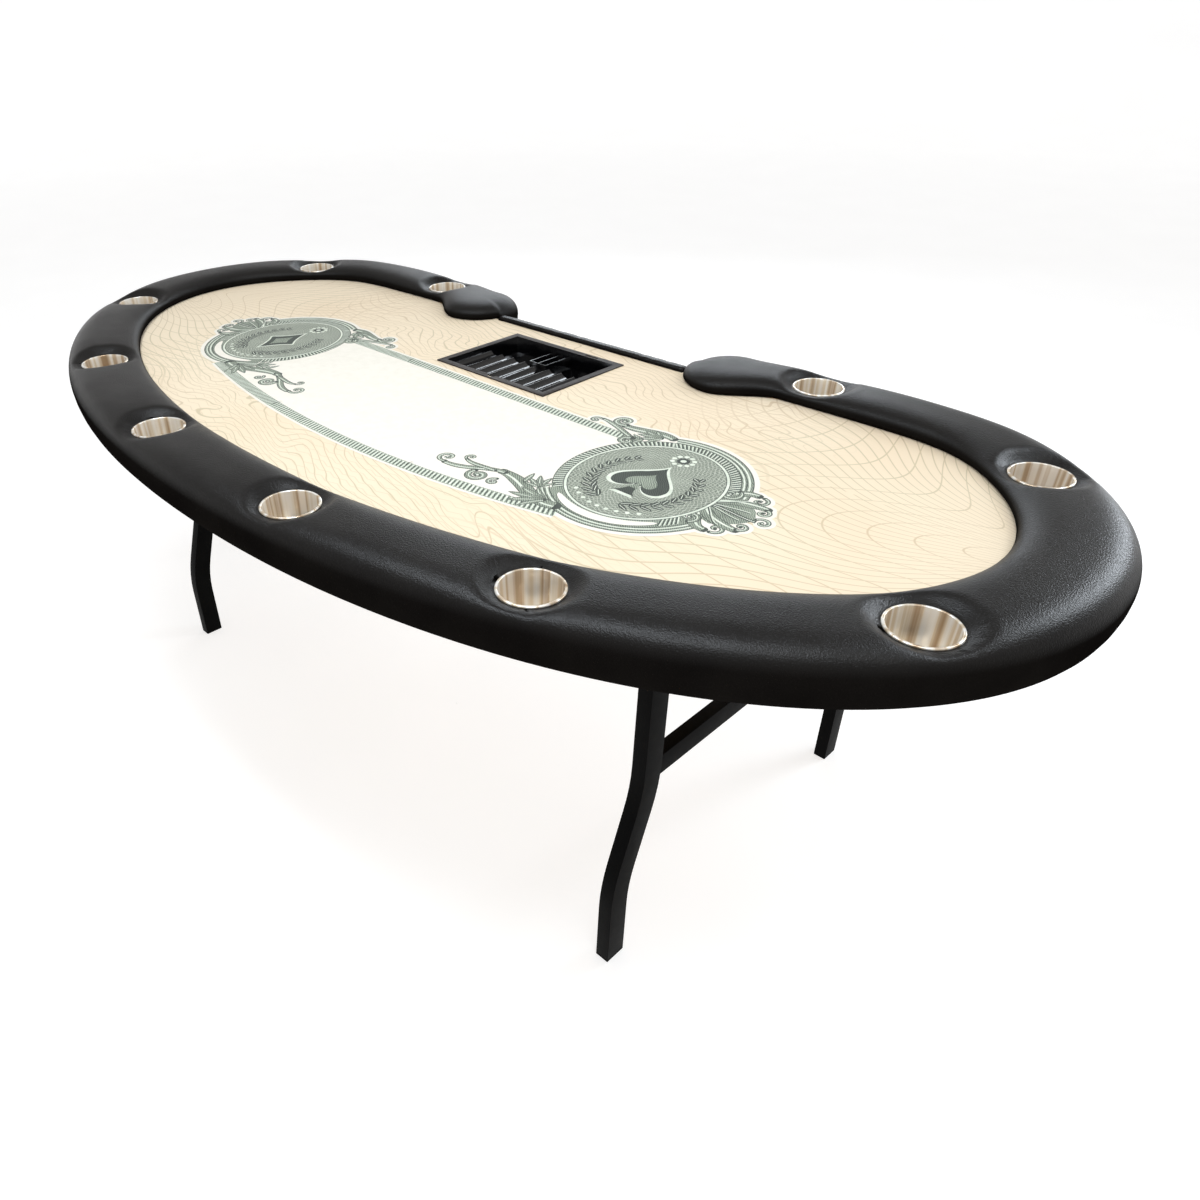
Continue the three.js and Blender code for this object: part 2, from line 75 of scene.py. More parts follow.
OUTER = {"half_length": 1.106, "half_width": 0.622, "power": 2.09, "reach": 0.434, "blend": 9}
INNER = {"half_length": 0.964, "half_width": 0.484, "power": 2.01, "reach": 0.3, "blend": 12}
END = {"x": 0.345, "y": 0.328, "radius": 0.089, "flare": 0.12}
DEALER_EDGE_Y = 0.306
TRIM_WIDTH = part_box("dealer_trim")[1].y - MIDDLE_Y - DEALER_EDGE_Y
CUP = {"rim": 0.0445, "body": 0.0415, "base": 0.0385, "depth": 0.067}
CUP_BOXES = [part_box(f"cup_holder_{i}") for i in range(1, 11)]
CUP_PLACES = [tuple(((low + high) / 2)[:2]) for low, high in CUP_BOXES]


# ---------- plan geometry ----------

def smooth_step(t):
    t = np.clip(t, 0.0, 1.0)
    return t * t * (3 - 2 * t)


def oval(x, y, radius_x, radius_y, angles):
    """Points round a middle, at angles in radians."""
    return stack([x + radius_x * np.cos(angles), y + radius_y * np.sin(angles)], 1)


def lengths(line):
    """How far along a line each of its points is."""
    return concatenate([[0], np.cumsum(np.linalg.norm(np.diff(line, axis=0), axis=1))])


def directions(line):
    """Unit vectors along a line and to its left, at each point."""
    along = np.gradient(line, axis=0)
    along /= np.linalg.norm(along, axis=1)[:, None]
    return along, stack([-along[:, 1], along[:, 0]], 1)


def turn_by(degrees):
    a = radians(degrees)
    return array([[cos(a), sin(a)], [-sin(a), cos(a)]])


# ---------- meshes and objects ----------

def linear(red, green, blue):
    """An sRGB colour with channels from 0 to 255, as linear RGBA."""
    def channel(value):
        value /= 255
        return value / 12.92 if value <= 0.04045 else ((value + 0.055) / 1.055) ** 2.4
    return (channel(red), channel(green), channel(blue), 1.0)


def add_object(name, data):
    thing = bpy.data.objects.new(name, data)
    bpy.context.scene.collection.objects.link(thing)
    return thing


def make_object(name, vertices, faces, material, smooth=True):
    mesh = bpy.data.meshes.new(name)
    mesh.from_pydata([tuple(map(float, v)) for v in vertices], [], [list(map(int, f)) for f in faces])
    mesh.update()
    mesh.materials.append(material)
    mesh.polygons.foreach_set("use_smooth", [smooth] * len(mesh.polygons))
    return add_object(name, mesh)


def place(piece, body, slot, *nodes):
    """Rides on a body and stands for the CAD nodes named, which it hides. The slot is not used."""
    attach(piece, body)
    if nodes:
        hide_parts(*nodes)
    return piece


def apply_modifiers(piece):
    with bpy.context.temp_override(object=piece, active_object=piece, selected_objects=[piece]):
        for modifier in list(piece.modifiers):
            bpy.ops.object.modifier_apply(modifier=modifier.name)


def smooth_by_angle(piece, degrees):
    mesh = piece.data
    mesh.polygons.foreach_set("use_smooth", [True] * len(mesh.polygons))
    mesh.set_sharp_from_angle(angle=radians(degrees))


def edit_mesh(mesh, change):
    """Runs a change on the mesh's bmesh."""
    shape = bmesh.new()
    shape.from_mesh(mesh)
    change(shape)
    shape.to_mesh(mesh)
    shape.free()


def face_outwards(piece):
    edit_mesh(piece.data, lambda shape: bmesh.ops.recalc_face_normals(shape, faces=shape.faces))


def grid_faces(lines, rows, closed_lines=False, closed_rows=False):
    """Four-sided faces over vertices that are numbered line by line."""
    faces = []
    for i in range(lines if closed_lines else lines - 1):
        j = (i + 1) % lines
        for k in range(rows if closed_rows else rows - 1):
            m = (k + 1) % rows
            faces.append([i * rows + k, j * rows + k, j * rows + m, i * rows + m])
    return faces


def drop_loose(vertices, faces):
    """Keeps only the vertices that a face uses."""
    used = np.unique(concatenate([array(f) for f in faces]))
    renumber = full(len(vertices), -1)
    renumber[used] = arange(len(used))
    return vertices[used], [[renumber[v] for v in f] for f in faces]


def refined_copy(node, name, material, slot, bevel, segments=2):
    """A CAD piece with its flat faces made whole and its sharp edges rounded."""
    mesh = frame["nodes"][node].data.copy()
    mesh.name = name
    mesh.materials.clear()
    mesh.materials.append(material)

    def make_whole(shape):
        bmesh.ops.remove_doubles(shape, verts=shape.verts, dist=1e-5)
        bmesh.ops.dissolve_limit(
            shape, angle_limit=radians(1.5), verts=shape.verts, edges=shape.edges, delimit={"NORMAL"}
        )

    edit_mesh(mesh, make_whole)
    piece = add_object(name, mesh)
    rounding = piece.modifiers.new("rounding", "BEVEL")
    rounding.width = bevel
    rounding.segments = segments
    rounding.limit_method = "ANGLE"
    rounding.angle_limit = radians(32)
    rounding.harden_normals = False
    apply_modifiers(piece)
    smooth_by_angle(piece, 32)
    bodies = frame["record"]["behaviour"]["bodies"]
    body = next(body for body, nodes in bodies.items() if node in nodes)
    return place(piece, body, slot, node)


# ---------- materials ----------

class Wire:
    """An output of a node. Each operator on it adds one math node."""

    def __init__(self, nodes, socket):
        self.nodes, self.socket = nodes, socket

    def __add__(self, other):
        return self.nodes.math("ADD", self, other)

    def __mul__(self, other):
        return self.nodes.math("MULTIPLY", self, other)

    def __sub__(self, other):
        return self.nodes.math("SUBTRACT", self, other)

    def __rsub__(self, other):
        return self.nodes.math("SUBTRACT", other, self)

    def __or__(self, other):
        return self.nodes.math("MAXIMUM", self, other)


class Nodes:
    """A short way to write a material's node tree."""

    def __init__(self, name):
        self.material = bpy.data.materials.new(name)
        self.material.use_nodes = True
        self.tree = self.material.node_tree

    def feed(self, socket, value):
        if isinstance(value, Wire):
            self.tree.links.new(value.socket, socket)
        else:
            socket.default_value = value

    def add(self, kind, output, **values):
        """One output of a new node. Names in lower case are its settings, the others its inputs."""
        node = self.tree.nodes.new("ShaderNode" + kind)
        for key, value in values.items():
            if key.islower():
                setattr(node, key, value)
            else:
                self.feed(node.inputs[key.replace("_", " ")], value)
        return Wire(self, node.outputs[output])

    def math(self, operation, *values):
        result = self.add("Math", 0, operation=operation)
        for socket, value in zip(result.socket.node.inputs, values):
            self.feed(socket, value)
        return result

    def place(self, scale=(1, 1, 1), move=(0, 0, 0)):
        """Object coordinates, which are row frame metres."""
        where = self.add("TexCoord", "Object")
        return self.add("Mapping", "Vector", Vector=where, Scale=scale, Location=move)

    def axis(self, name, vector):
        return self.add("SeparateXYZ", name, Vector=vector)

    def upward(self):
        """How far the surface faces up, from -1 to 1."""
        return self.axis("Z", self.add("NewGeometry", "Normal"))

    def noise(self, scale, detail=3.0, roughness=0.55, distortion=0.0, vector=None):
        return self.add(
            "TexNoise", "Fac", Vector=vector or self.place(), Scale=scale, Detail=detail,
            Roughness=roughness, Distortion=distortion,
        )

    def cells(self, scale, feature="F1"):
        return self.add("TexVoronoi", "Distance", feature=feature, Vector=self.place(), Scale=scale)

    def ramp(self, value, *stops):
        """Colours by value. A stop is its place and an sRGB colour."""
        result = self.add("ValToRGB", "Color", Fac=value)
        elements = result.socket.node.color_ramp.elements
        while len(elements) < len(stops):
            elements.new(0.5)
        for element, (position, *colour) in zip(elements, stops):
            element.position = position
            element.color = linear(*colour)
        return result

    def blend(self, share, first, second):
        result = self.add("Mix", 2, data_type="RGBA")
        for i, value in ((0, share), (6, first), (7, second)):
            self.feed(result.socket.node.inputs[i], value)
        return result

    def rescale(self, value, low, high):
        return self.add("MapRange", "Result", Value=value, To_Min=low, To_Max=high)

    def ease(self, value, low, high):
        """0 at low, 1 at high, and smooth between them."""
        return self.add(
            "MapRange", "Result", interpolation_type="SMOOTHSTEP", Value=value, From_Min=low, From_Max=high,
        )

    def bump(self, height, strength, distance, **below):
        return self.add("Bump", "Normal", Height=height, Strength=strength, Distance=distance, **below)

    def finish(self, **inputs):
        shader = self.tree.nodes["Principled BSDF"]
        for key, value in inputs.items():
            self.feed(shader.inputs[key.replace("_", " ")], value)
        return self.material


def polar(n, x, y):
    """The angle and the distance of (x, y) from the origin."""
    return n.math("ARCTAN2", y, x), n.math("SQRT", x * x + y * y)


def vinyl_material(name, smooth, rough):
    """Black upholstery vinyl with a pebbled grain. Hands polish the crown, the sides stay matt."""
    n = Nodes(name)
    pebbles = n.cells(620, "SMOOTH_F1")
    creases = n.cells(260, "DISTANCE_TO_EDGE")
    tone = n.ramp(n.noise(9, 4), (0.3, 17, 15, 14), (0.7, 25, 23, 21))
    colour = n.blend(n.rescale(pebbles, 0.0, 0.35), tone, linear(9, 8, 8))
    polish = n.ease(n.upward(), 0.2, 0.92)
    worn = n.rescale(n.noise(28, 3), smooth, rough)
    grain = n.bump(n.noise(330, 3, 0.6), 0.36, 0.001, Normal=n.bump(pebbles, 0.5, 0.0008))
    folds = n.bump(n.math("MINIMUM", creases, 0.12), 0.25, 0.001, Normal=grain)
    return n.finish(
        Base_Color=colour, Roughness=n.math("MULTIPLY_ADD", 1.0 - polish, 0.25, worn), Normal=folds,
        Specular_IOR_Level=n.rescale(polish, 0.0, 0.42), IOR=1.36,
    )


def finish_cloth(n, colour):
    """Matt cloth. A faint weave shows through every printed colour."""
    woven = n.blend(n.noise(1500, 2) * 0.1, colour, linear(120, 110, 90))
    return n.finish(
        Base_Color=woven, Roughness=0.82, Normal=n.bump(n.noise(2200, 2), 0.25, 0.0002),
        Sheen_Weight=0.08, Sheen_Roughness=0.5,
    )


def fine_lines(n, value, width):
    """1 on thin lines where a value passes each whole number, 0 between them."""
    return 1.0 - n.ease(n.math("PINGPONG", value, 0.5), width * 0.4, width)


def printed_cloth_material():
    """Cream cloth with faint security-print lines: contours in the middle, fans at both ends."""
    n = Nodes("printed_cloth")
    from_middle = n.place(move=(0, -MIDDLE_Y, 0))
    x, y = n.axis("X", from_middle), n.axis("Y", from_middle)

    ripples = n.noise(3.4, 1.5, 0.45, 0.9, n.place((1, 1.3, 1))) * 15.0
    contours = fine_lines(n, y * 58.0 + x * 16.0 + ripples, 0.085)
    zigzag = n.math("PINGPONG", x * 24.0, 0.5) * 0.9
    zigzag_lines = fine_lines(n, y * 62.0 + zigzag, 0.08) * 0.5

    def fan(centre_x, centre_y, ripple):
        """Rays out of a centre, crossed by a few bows."""
        angle, radius = polar(n, x - centre_x, y - centre_y)
        wave = n.math("SINE", radius * 18.0) * 0.8
        rays = fine_lines(n, angle * 20.0 + radius * ripple + wave, 0.085)
        return rays | fine_lines(n, radius * 17.0 + n.math("SINE", angle * 5.0) * 1.6, 0.035)

    right = fan(1.06, 0.06, 13.0) * n.ease(x, 0.3, 0.55)
    left = fan(-1.06, -0.04, -13.0) * n.ease(x, -0.35, -0.6)
    middle = 1.0 - (n.ease(x, 0.45, 0.72) | n.ease(x, -0.5, -0.75))
    lines = (contours | zigzag_lines) * middle | (right | left)
    ground = n.ramp(n.noise(2.0, 2), (0.3, 228, 208, 179), (0.7, 233, 218, 192))
    ink = n.ramp(n.noise(3.0, 1), (0.4, 166, 136, 92), (0.6, 140, 134, 92))
    return finish_cloth(n, n.blend(lines * 0.42, ground, ink))


def print_material(name, first, second):
    """One printing ink, a little uneven."""
    n = Nodes(name)
    return finish_cloth(n, n.ramp(n.noise(60, 4, 0.7), (0.35, *first), (0.65, *second)))


def engraved_material(name, ground, ink):
    """Ink laid in fine engraved strokes over a lighter ground."""
    n = Nodes(name)
    strokes = n.add(
        "TexWave", "Fac", wave_type="BANDS", bands_direction="DIAGONAL", Vector=n.place(),
        Scale=150.0, Distortion=6.0, Detail=2.0, Detail_Scale=0.6,
    )
    share = (strokes + n.noise(26, 3)) * 0.5
    return finish_cloth(n, n.ramp(share, (0.3, *ground), (0.72, *ink)))


def rosette_material():
    """The seals' ground: interlaced machine-turned waves round the middle of either seal."""
    n = Nodes("print_rosette")
    from_middle = n.place(move=(0, -MIDDLE_Y, 0))
    x, y = n.axis("X", from_middle), n.axis("Y", from_middle)
    angle, radius = polar(n, n.math("ABSOLUTE", x) - SEAL["x"], y - SEAL["y"])

    def waves(petals, rings, swing, phase):
        turn = n.math("COSINE", angle * petals + phase)
        return fine_lines(n, radius * rings + turn * swing, 0.2)

    lace = waves(16.0, 150.0, 0.9, 0.0) | waves(16.0, 150.0, 0.9, pi)
    shade = n.math("MINIMUM", lace * 0.55 + waves(32.0, 110.0, 1.4, 0.0) * 0.35, 1.0)
    share = shade * 0.75 + n.noise(22, 3) * 0.25
    return finish_cloth(n, n.ramp(share, (0.08, 98, 105, 94), (0.45, 141, 147, 132), (0.85, 188, 192, 177)))


def cup_steel_material():
    """Spun and polished stainless steel. Its colour is painted reflection: tan, beige and white streaks from
    rim to base, the white one a painted highlight. The uv map holds the turn angle.
    """
    n = Nodes("cup_steel")
    turn = n.add("UVMap", "UV", uv_map="turn")
    reflection_bands = n.noise(1.7, 1.0, 0.5, 0.0, turn) * 0.88 + n.noise(8.0, 2.0, 0.6, 0.0, turn) * 0.12
    # Painted reflection: the ramp's tan, beige and white bands stand in for the room mirrored in the steel.
    colour = n.ramp(
        reflection_bands, (0.32, 176, 150, 120), (0.41, 236, 222, 200), (0.48, 255, 254, 250),
        (0.53, 242, 231, 212), (0.585, 194, 170, 141), (0.65, 252, 246, 236),
    )
    lathe_marks = n.noise(1.0, 2, vector=n.place((0.4, 0.4, 900)))
    return n.finish(
        Base_Color=colour, Metallic=0.5, Roughness=n.rescale(n.noise(40, 2), 0.16, 0.26),
        Normal=n.bump(lathe_marks, 0.06, 0.0002),
    )


def powder_coat_material():
    """Satin black powder coat with a little dust and orange peel."""
    n = Nodes("leg_powder_coat")
    dust = n.ramp(n.noise(14, 5), (0.45, 4, 4, 4), (0.8, 10, 10, 9))
    return n.finish(
        Base_Color=dust, Roughness=n.rescale(n.noise(60, 3), 0.42, 0.56), Specular_IOR_Level=0.03,
        Normal=n.bump(n.noise(900, 2), 0.25, 0.0003),
    )


def zinc_material():
    n = Nodes("zinc_plate")
    spangle = n.ramp(n.cells(120), (0.1, 150, 152, 156), (0.7, 188, 190, 192))
    return n.finish(
        Base_Color=spangle, Metallic=1.0, Roughness=n.rescale(n.noise(90, 3), 0.28, 0.46),
        Normal=n.bump(n.noise(1200, 1), 0.1, 0.0002),
    )


def plywood_material():
    """Birch ply: long grain on the faces, dark glue lines between layers on the edges."""
    n = Nodes("birch_plywood")
    grain = n.noise(5, 5, 0.6, 0.6, n.place((1.2, 26, 1.2)))
    face = n.ramp(grain, (0.32, 176, 138, 92), (0.68, 214, 182, 136))
    glue = fine_lines(n, n.axis("Z", n.place()) * 720.0, 0.16)
    on_edge = n.math("LESS_THAN", n.math("ABSOLUTE", n.upward()), 0.5)
    colour = n.blend(glue * on_edge * 0.7, face, linear(92, 62, 38))
    return n.finish(Base_Color=colour, Roughness=0.62, Normal=n.bump(grain, 0.2, 0.0004))


def tray_plastic_material(name, dark, pale, smooth, rough, shine):
    n = Nodes(name)
    return n.finish(
        Base_Color=n.ramp(n.noise(20, 3), (0.35, *dark), (0.7, *pale)), Specular_IOR_Level=shine,
        Roughness=n.rescale(n.noise(35, 2), smooth, rough), Normal=n.bump(n.noise(700, 3), 0.1, 0.0003),
    )


def rubber_material():
    n = Nodes("foot_rubber")
    return n.finish(
        Base_Color=n.ramp(n.noise(40, 4), (0.4, 9, 9, 9), (0.75, 19, 18, 18)), Roughness=0.75,
        Specular_IOR_Level=0.1, Normal=n.bump(n.noise(500, 3), 0.3, 0.0004),
    )


def foam_material():
    n = Nodes("foam_sheet")
    bubbles = n.cells(500)
    return n.finish(
        # Darkest in the middle of each bubble, where the bump sinks: painted shade in the pores.
        Base_Color=n.ramp(bubbles, (0.1, 84, 86, 90), (0.6, 128, 130, 134)), Roughness=0.95,
        Normal=n.bump(bubbles, 0.5, 0.0006),
    )


# ---------- plan curves of the rail ----------

def edge_curve(edge, end_y, t):
    """Points of one edge of the rail on its +X half, from the players' side at 0 to the rail end at 1."""
    end_angle = acos((END["x"] / edge["half_length"]) ** (edge["power"] / 2))
    angle = -pi / 2 + t * (pi / 2 + end_angle)
    stretch = 2 / edge["power"]
    x = edge["half_length"] * np.abs(np.cos(angle)) ** stretch
    y = edge["half_width"] * np.sign(np.sin(angle)) * np.abs(np.sin(angle)) ** stretch
    high = np.maximum(y, 0.0)
    flattened = high / (1 + (high / edge["reach"]) ** edge["blend"]) ** (1 / edge["blend"])
    flare = smooth_step((x - END["x"]) / END["flare"])
    dealer_side = np.where(x < END["x"] + END["flare"], end_y + (flattened - end_y) * flare, flattened)
    return stack([x, np.where(y > 0, dealer_side, y)], 1)


def rail_stations(step):
    """Matching points on the outer edge, the inner edge and midway, evenly spaced along the rail.

    They run from the rail end on the +X side, round the players' side, to the other rail end."""
    def edges(t):
        outer = edge_curve(OUTER, END["y"] + END["radius"], t)
        return outer, edge_curve(INNER, END["y"] - END["radius"], t)

    t = linspace(0, 1, 3001)
    outer, inner = edges(t)
    run = lengths((outer + inner) / 2)
    even = np.interp(linspace(0, run[-1], int(run[-1] / step) + 1), run, t)
    outer, inner = (concatenate([half[::-1], half[1:] * [-1.0, 1.0]]) for half in edges(even))
    return outer, inner, (outer + inner) / 2


# ---------- rail ----------

LOWER_ROWS, UPPER_ROWS = 9, 18
HOLE_CUT, HOLE_EDGE, HOLE_RINGS = 0.05, 0.0512, (0.0482, 0.0455, 0.043)
CUP_SEAT_Z = CUP_RIM_Z - 0.0024
SADDLE_DEPTH, SADDLE_REACH = 0.0055, 0.085


def rail_profile(width, on_cloth):
    """(distance from the edge, height) rows from the bottom up to the crown's middle line.

    on_cloth is 0 where the side wraps under the table's edge and 1 where it stands on the cloth."""
    side_z, bottom_z, foot = 0.718, 0.6765, CLOTH_Z + 0.0004
    hem_z = STIFFENER_Z - 0.0012
    wrapped = [(0.062, hem_z), (0.045, hem_z), (0.029, hem_z - 0.0006)]
    for turn in np.radians(linspace(90, 15, LOWER_ROWS - 3)):
        wrapped.append((0.02 * (1 - cos(turn)), side_z - (side_z - bottom_z) * sin(turn)))
    standing = [(0.013, foot), (0.009, foot), (0.006, foot + 0.0002)]
    for share in linspace(0, 1, LOWER_ROWS - 3):
        standing.append((0.0045 * (1 - share) ** 1.5, foot + 0.0006 + 0.006 * share))
    rows = list(array(wrapped) * (1 - on_cloth) + array(standing) * on_cloth)

    start = side_z + (foot + 0.0075 - side_z) * on_cloth
    flatness = 0.62 + 0.06 * on_cloth
    for turn in linspace(0, pi / 2, UPPER_ROWS):
        across = 1 - max(cos(turn), 0.0) ** flatness
        rows.append((width * across, start + (CROWN_Z - start) * sin(turn) ** 0.92))
    return array(rows)


def dished(points):
    """Pulls the crown down into a soft dish around each cup, with a few puckers in the vinyl."""
    rng = random.Random(7)
    for x, y in CUP_PLACES:
        r = hypot(points[:, 0] - x, points[:, 1] - y)
        high = smooth_step((points[:, 2] - CLOTH_Z - 0.01) / 0.02)
        points[:, 2] -= SADDLE_DEPTH * np.exp(-((r / SADDLE_REACH) ** 2)) * high
    for x, y in CUP_PLACES:
        dx, dy = points[:, 0] - x, points[:, 1] - y
        r, angle = hypot(dx, dy), np.arctan2(dy, dx)
        z = points[:, 2]
        near = (r < 0.12) & (z > CLOTH_Z + 0.006)
        pull = (1 - smooth_step((r - CUP["rim"]) / 0.034)) ** 1.9
        sunk = CUP_SEAT_Z + (z - CUP_SEAT_Z) * (1 - pull)
        for _ in range(9):
            towards, wide = rng.uniform(-pi, pi), rng.uniform(0.06, 0.14)
            deep, far = rng.uniform(0.0003, 0.0009), rng.uniform(0.064, 0.084)
            off = np.angle(np.exp(1j * (angle - towards)))
            along = smooth_step((r - 0.046) / 0.01) * (1 - smooth_step((r - 0.054) / (far - 0.05)))
            sunk = sunk - deep * np.exp(-((off / wide) ** 2)) * along
        points[:, 2] = np.where(near, np.minimum(sunk, z), z)
    return points


def rail_mesh():
    outer, inner, spine = rail_stations(0.0052)
    count = len(spine)
    angles = np.radians(linspace(90, 270, 41)[1:-1])
    left_arc = oval(-END["x"], END["y"], -END["radius"], END["radius"], angles)
    right_arc = oval(END["x"], END["y"], END["radius"], END["radius"], angles)[::-1]

    # The closed outline: outer edge, -X end, inner edge backwards, +X end.
    border = concatenate([outer, left_arc, inner[::-1], right_arc])
    along = arange(count)
    at_end = zeros(len(angles), int)
    centre = concatenate([along, at_end + count - 1, along[::-1], at_end])
    round_ends = [1 - smooth_step((arc[:, 1] - DEALER_EDGE_Y) / TRIM_WIDTH) for arc in (left_arc, right_arc)]
    on_cloth = concatenate([zeros(count), round_ends[0], np.ones(count), round_ends[1]])
    rows = LOWER_ROWS + UPPER_ROWS - 1
    total = len(border)
    points = zeros((total, rows, 3))
    for i in range(total):
        to_spine = spine[centre[i]] - border[i]
        width = float(hypot(*to_spine))
        profile = rail_profile(width, on_cloth[i])[:-1]
        points[i, :, :2] = border[i] + np.outer(profile[:, 0] / width, to_spine)
        points[i, :, 2] = profile[:, 1]
    crest = column_stack([spine, full(count, CROWN_Z)])
    vertices = concatenate([points.reshape(-1, 3), crest])
    vertices[:, 1] += MIDDLE_Y

    faces = grid_faces(total, rows, closed_lines=True)
    for i in range(total):
        j = (i + 1) % total
        low = [i * rows + rows - 1, j * rows + rows - 1]
        crests = [total * rows + centre[j], total * rows + centre[i]]
        faces.append(low + crests[:1 if crests[0] == crests[1] else 2])
    return vertices, faces


def open_for_cups(vertices, faces):
    """Cuts a round hole for each cup and closes the ragged edge with clean rings."""
    gone = zeros(len(vertices), int)
    top = vertices[:, 2] > CLOTH_Z + 0.008
    for number, (x, y) in enumerate(CUP_PLACES, 1):
        gone[(hypot(vertices[:, 0] - x, vertices[:, 1] - y) < HOLE_CUT) & top] = number
    vertices = list(vertices)
    kept, edges = [], [set() for _ in range(len(CUP_PLACES) + 1)]
    for face in faces:
        owner = max(gone[v] for v in face)
        if owner:
            edges[owner].update(zip(face, face[1:] + face[:1]))
        else:
            kept.append(face)
    for (x, y), around in zip(CUP_PLACES, edges[1:]):
        after = {a: b for a, b in around if (b, a) not in around}
        loop = [next(iter(after))]
        while after[loop[-1]] != loop[0]:
            loop.append(after[loop[-1]])
        angles = array([atan2(vertices[v][1] - y, vertices[v][0] - x) for v in loop])
        rings = [loop]
        for radius in HOLE_RINGS:
            rings.append(list(range(len(vertices), len(vertices) + len(loop))))
            circle = oval(x, y, radius, radius, angles)
            vertices.extend(column_stack([circle, full(len(loop), CROWN_Z - 0.0005)]))
        for v, spot in zip(loop, oval(x, y, HOLE_EDGE, HOLE_EDGE, angles)):
            vertices[v][:2] = spot
        for first, second in zip(rings, rings[1:]):
            for k in range(len(loop)):
                m = (k + 1) % len(loop)
                kept.append([first[k], first[m], second[m], second[k]])
    return array(vertices), kept


def build_rail(material):
    vertices, faces = open_for_cups(*rail_mesh())
    vertices, faces = drop_loose(dished(vertices), faces)
    rail = make_object("rail_upholstery", vertices, faces, material)
    face_outwards(rail)
    place(rail, TOP, "vinyl", "rail_cushion")


# ---------- cups ----------

def lathe(profile, segments, centre):
    """A turned shape from (radius, height) rows."""
    x, y = centre
    turns = [2 * pi * i / segments for i in range(segments)]
    vertices = [(x + r * cos(a), y + r * sin(a), z) for a in turns for r, z in profile]
    return vertices, grid_faces(segments, len(profile), closed_lines=True)


def arc_rows(centre_r, centre_z, radius, start, end, steps):
    angles = np.radians(linspace(start, end, steps))
    return [(centre_r + radius * cos(a), centre_z + radius * sin(a)) for a in angles]


def build_cups(material):
    rim, body, base, depth = CUP["rim"], CUP["body"], CUP["base"], CUP["depth"]
    top, floor = CUP_RIM_Z, CUP_RIM_Z - depth
    wall, bead, corner, lip = 0.001, 0.0019, 0.006, 0.0012
    step_z = floor + wall + 0.0008
    profile = [(0.0002, floor)] + arc_rows(base - corner, floor + corner, corner, -90, -8, 7)
    profile += [(body - 0.0002, top - 0.0042)] + arc_rows(rim - bead, top - bead, bead, -100, 90, 10)
    profile += arc_rows(body - wall + lip, top - lip, lip, 90, 180, 5)
    for share in (0.85, 0.5, 0.15):
        profile.append((base - wall + (body - base) * share, floor + 0.007 + (depth - 0.01) * share))
    profile += arc_rows(base - wall - corner, floor + wall + corner, corner, -8, -90, 7)
    profile += [(0.024, floor + wall), (0.0232, step_z), (0.0222, step_z), (0.0002, step_z)]
    for number, centre in enumerate(CUP_PLACES, 1):
        vertices, faces = lathe(profile, 72, centre)
        cup = make_object(f"cup_{number}", vertices, faces, material)
        layer = cup.data.uv_layers.new(name="turn")
        for loop in cup.data.loops:
            x, y, _ = cup.data.vertices[loop.vertex_index].co
            turn = atan2(y - centre[1], x - centre[0])
            layer.data[loop.index].uv = (cos(turn) + 3 * number, sin(turn))
        smooth_by_angle(cup, 50)
        place(cup, TOP, "polished_steel", f"cup_holder_{number}")


# ---------- cloth ----------

def cloth_outline(outset, line_y):
    """The rail's inner edge moved out under the cushion, and a straight dealer's edge."""
    _, inner, spine = rail_stations(0.012)
    out = spine - inner
    moved = inner + out / np.linalg.norm(out, axis=1)[:, None] * outset
    radius = END["radius"] - outset
    angles = linspace(-pi / 2, asin((line_y - END["y"]) / radius), 12)[1:]
    left = oval(-END["x"], END["y"], radius, radius, angles)
    return concatenate([moved, left, (left * [-1, 1])[::-1]]) + [0, MIDDLE_Y]


def inside_box(points, low, high):
    return ((points > low[:2]) & (points < high[:2])).all(1)


def build_cloth(material):
    """The cloth as a fine triangulated sheet, cut out for the chip tray."""
    outline = cloth_outline(0.012, DEALER_EDGE_Y - 0.001)
    low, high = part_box("chip_tray")
    rim = 0.01
    left, front, right, back = low.x + rim, low.y + rim, high.x - rim, high.y - rim
    hole = array([(left, front), (right, front), (right, back), (left, back)])
    columns, lines = arange(-0.96, 0.961, 0.02), arange(-0.48, 0.421, 0.02)
    grid = array([(x, y) for x in columns for y in lines])
    grid = grid[~inside_box(grid, hole[0] - 0.004, hole[2] + 0.004)]
    count = len(outline)
    points = [Vector(p) for p in concatenate([outline, hole, grid])]
    border = [(i, (i + 1) % count) for i in range(count)]
    border += [(count + i, count + (i + 1) % 4) for i in range(4)]
    flat, _, triangles, *_ = delaunay_2d_cdt(points, border, [], 1, 1e-6)
    flat = array([tuple(p) for p in flat])
    triangles = array([list(t) for t in triangles])
    triangles = triangles[~inside_box(flat[triangles].mean(1), hole[0], hole[2])].tolist()
    vertices, triangles = drop_loose(column_stack([flat, full(len(flat), CLOTH_Z)]), triangles)
    cloth = make_object("printed_cloth_sheet", vertices, triangles, material)
    thicken = cloth.modifiers.new("thickness", "SOLIDIFY")
    thicken.thickness = 0.0012
    thicken.offset = -1
    apply_modifiers(cloth)
    smooth_by_angle(cloth, 40)
    place(cloth, TOP, "printed_cloth", "playing_cloth")
    sides = vertices[:, :2].max(0) - vertices[:, :2].min(0)
    corners = vertices[array(triangles)]
    across = np.cross(corners[:, 1] - corners[:, 0], corners[:, 2] - corners[:, 0])


# ---------- the cloth's print ----------

SEAL = {"x": 0.495, "y": -0.107, "half_width": 0.1145, "half_height": 0.129}
PRINT_SPLIT_X = 0.19  # the print is three pieces: a seal on either side of the middle
PRINT_LIFT = 0.00025
PRINT_STEP = 0.0032
HALO = 0.006
PANEL_TOP_Y = -0.0055
PANEL_BOTTOM_Y = -0.333
ROPE_WIDTH = 0.021
ROPE_PITCH = 0.0076


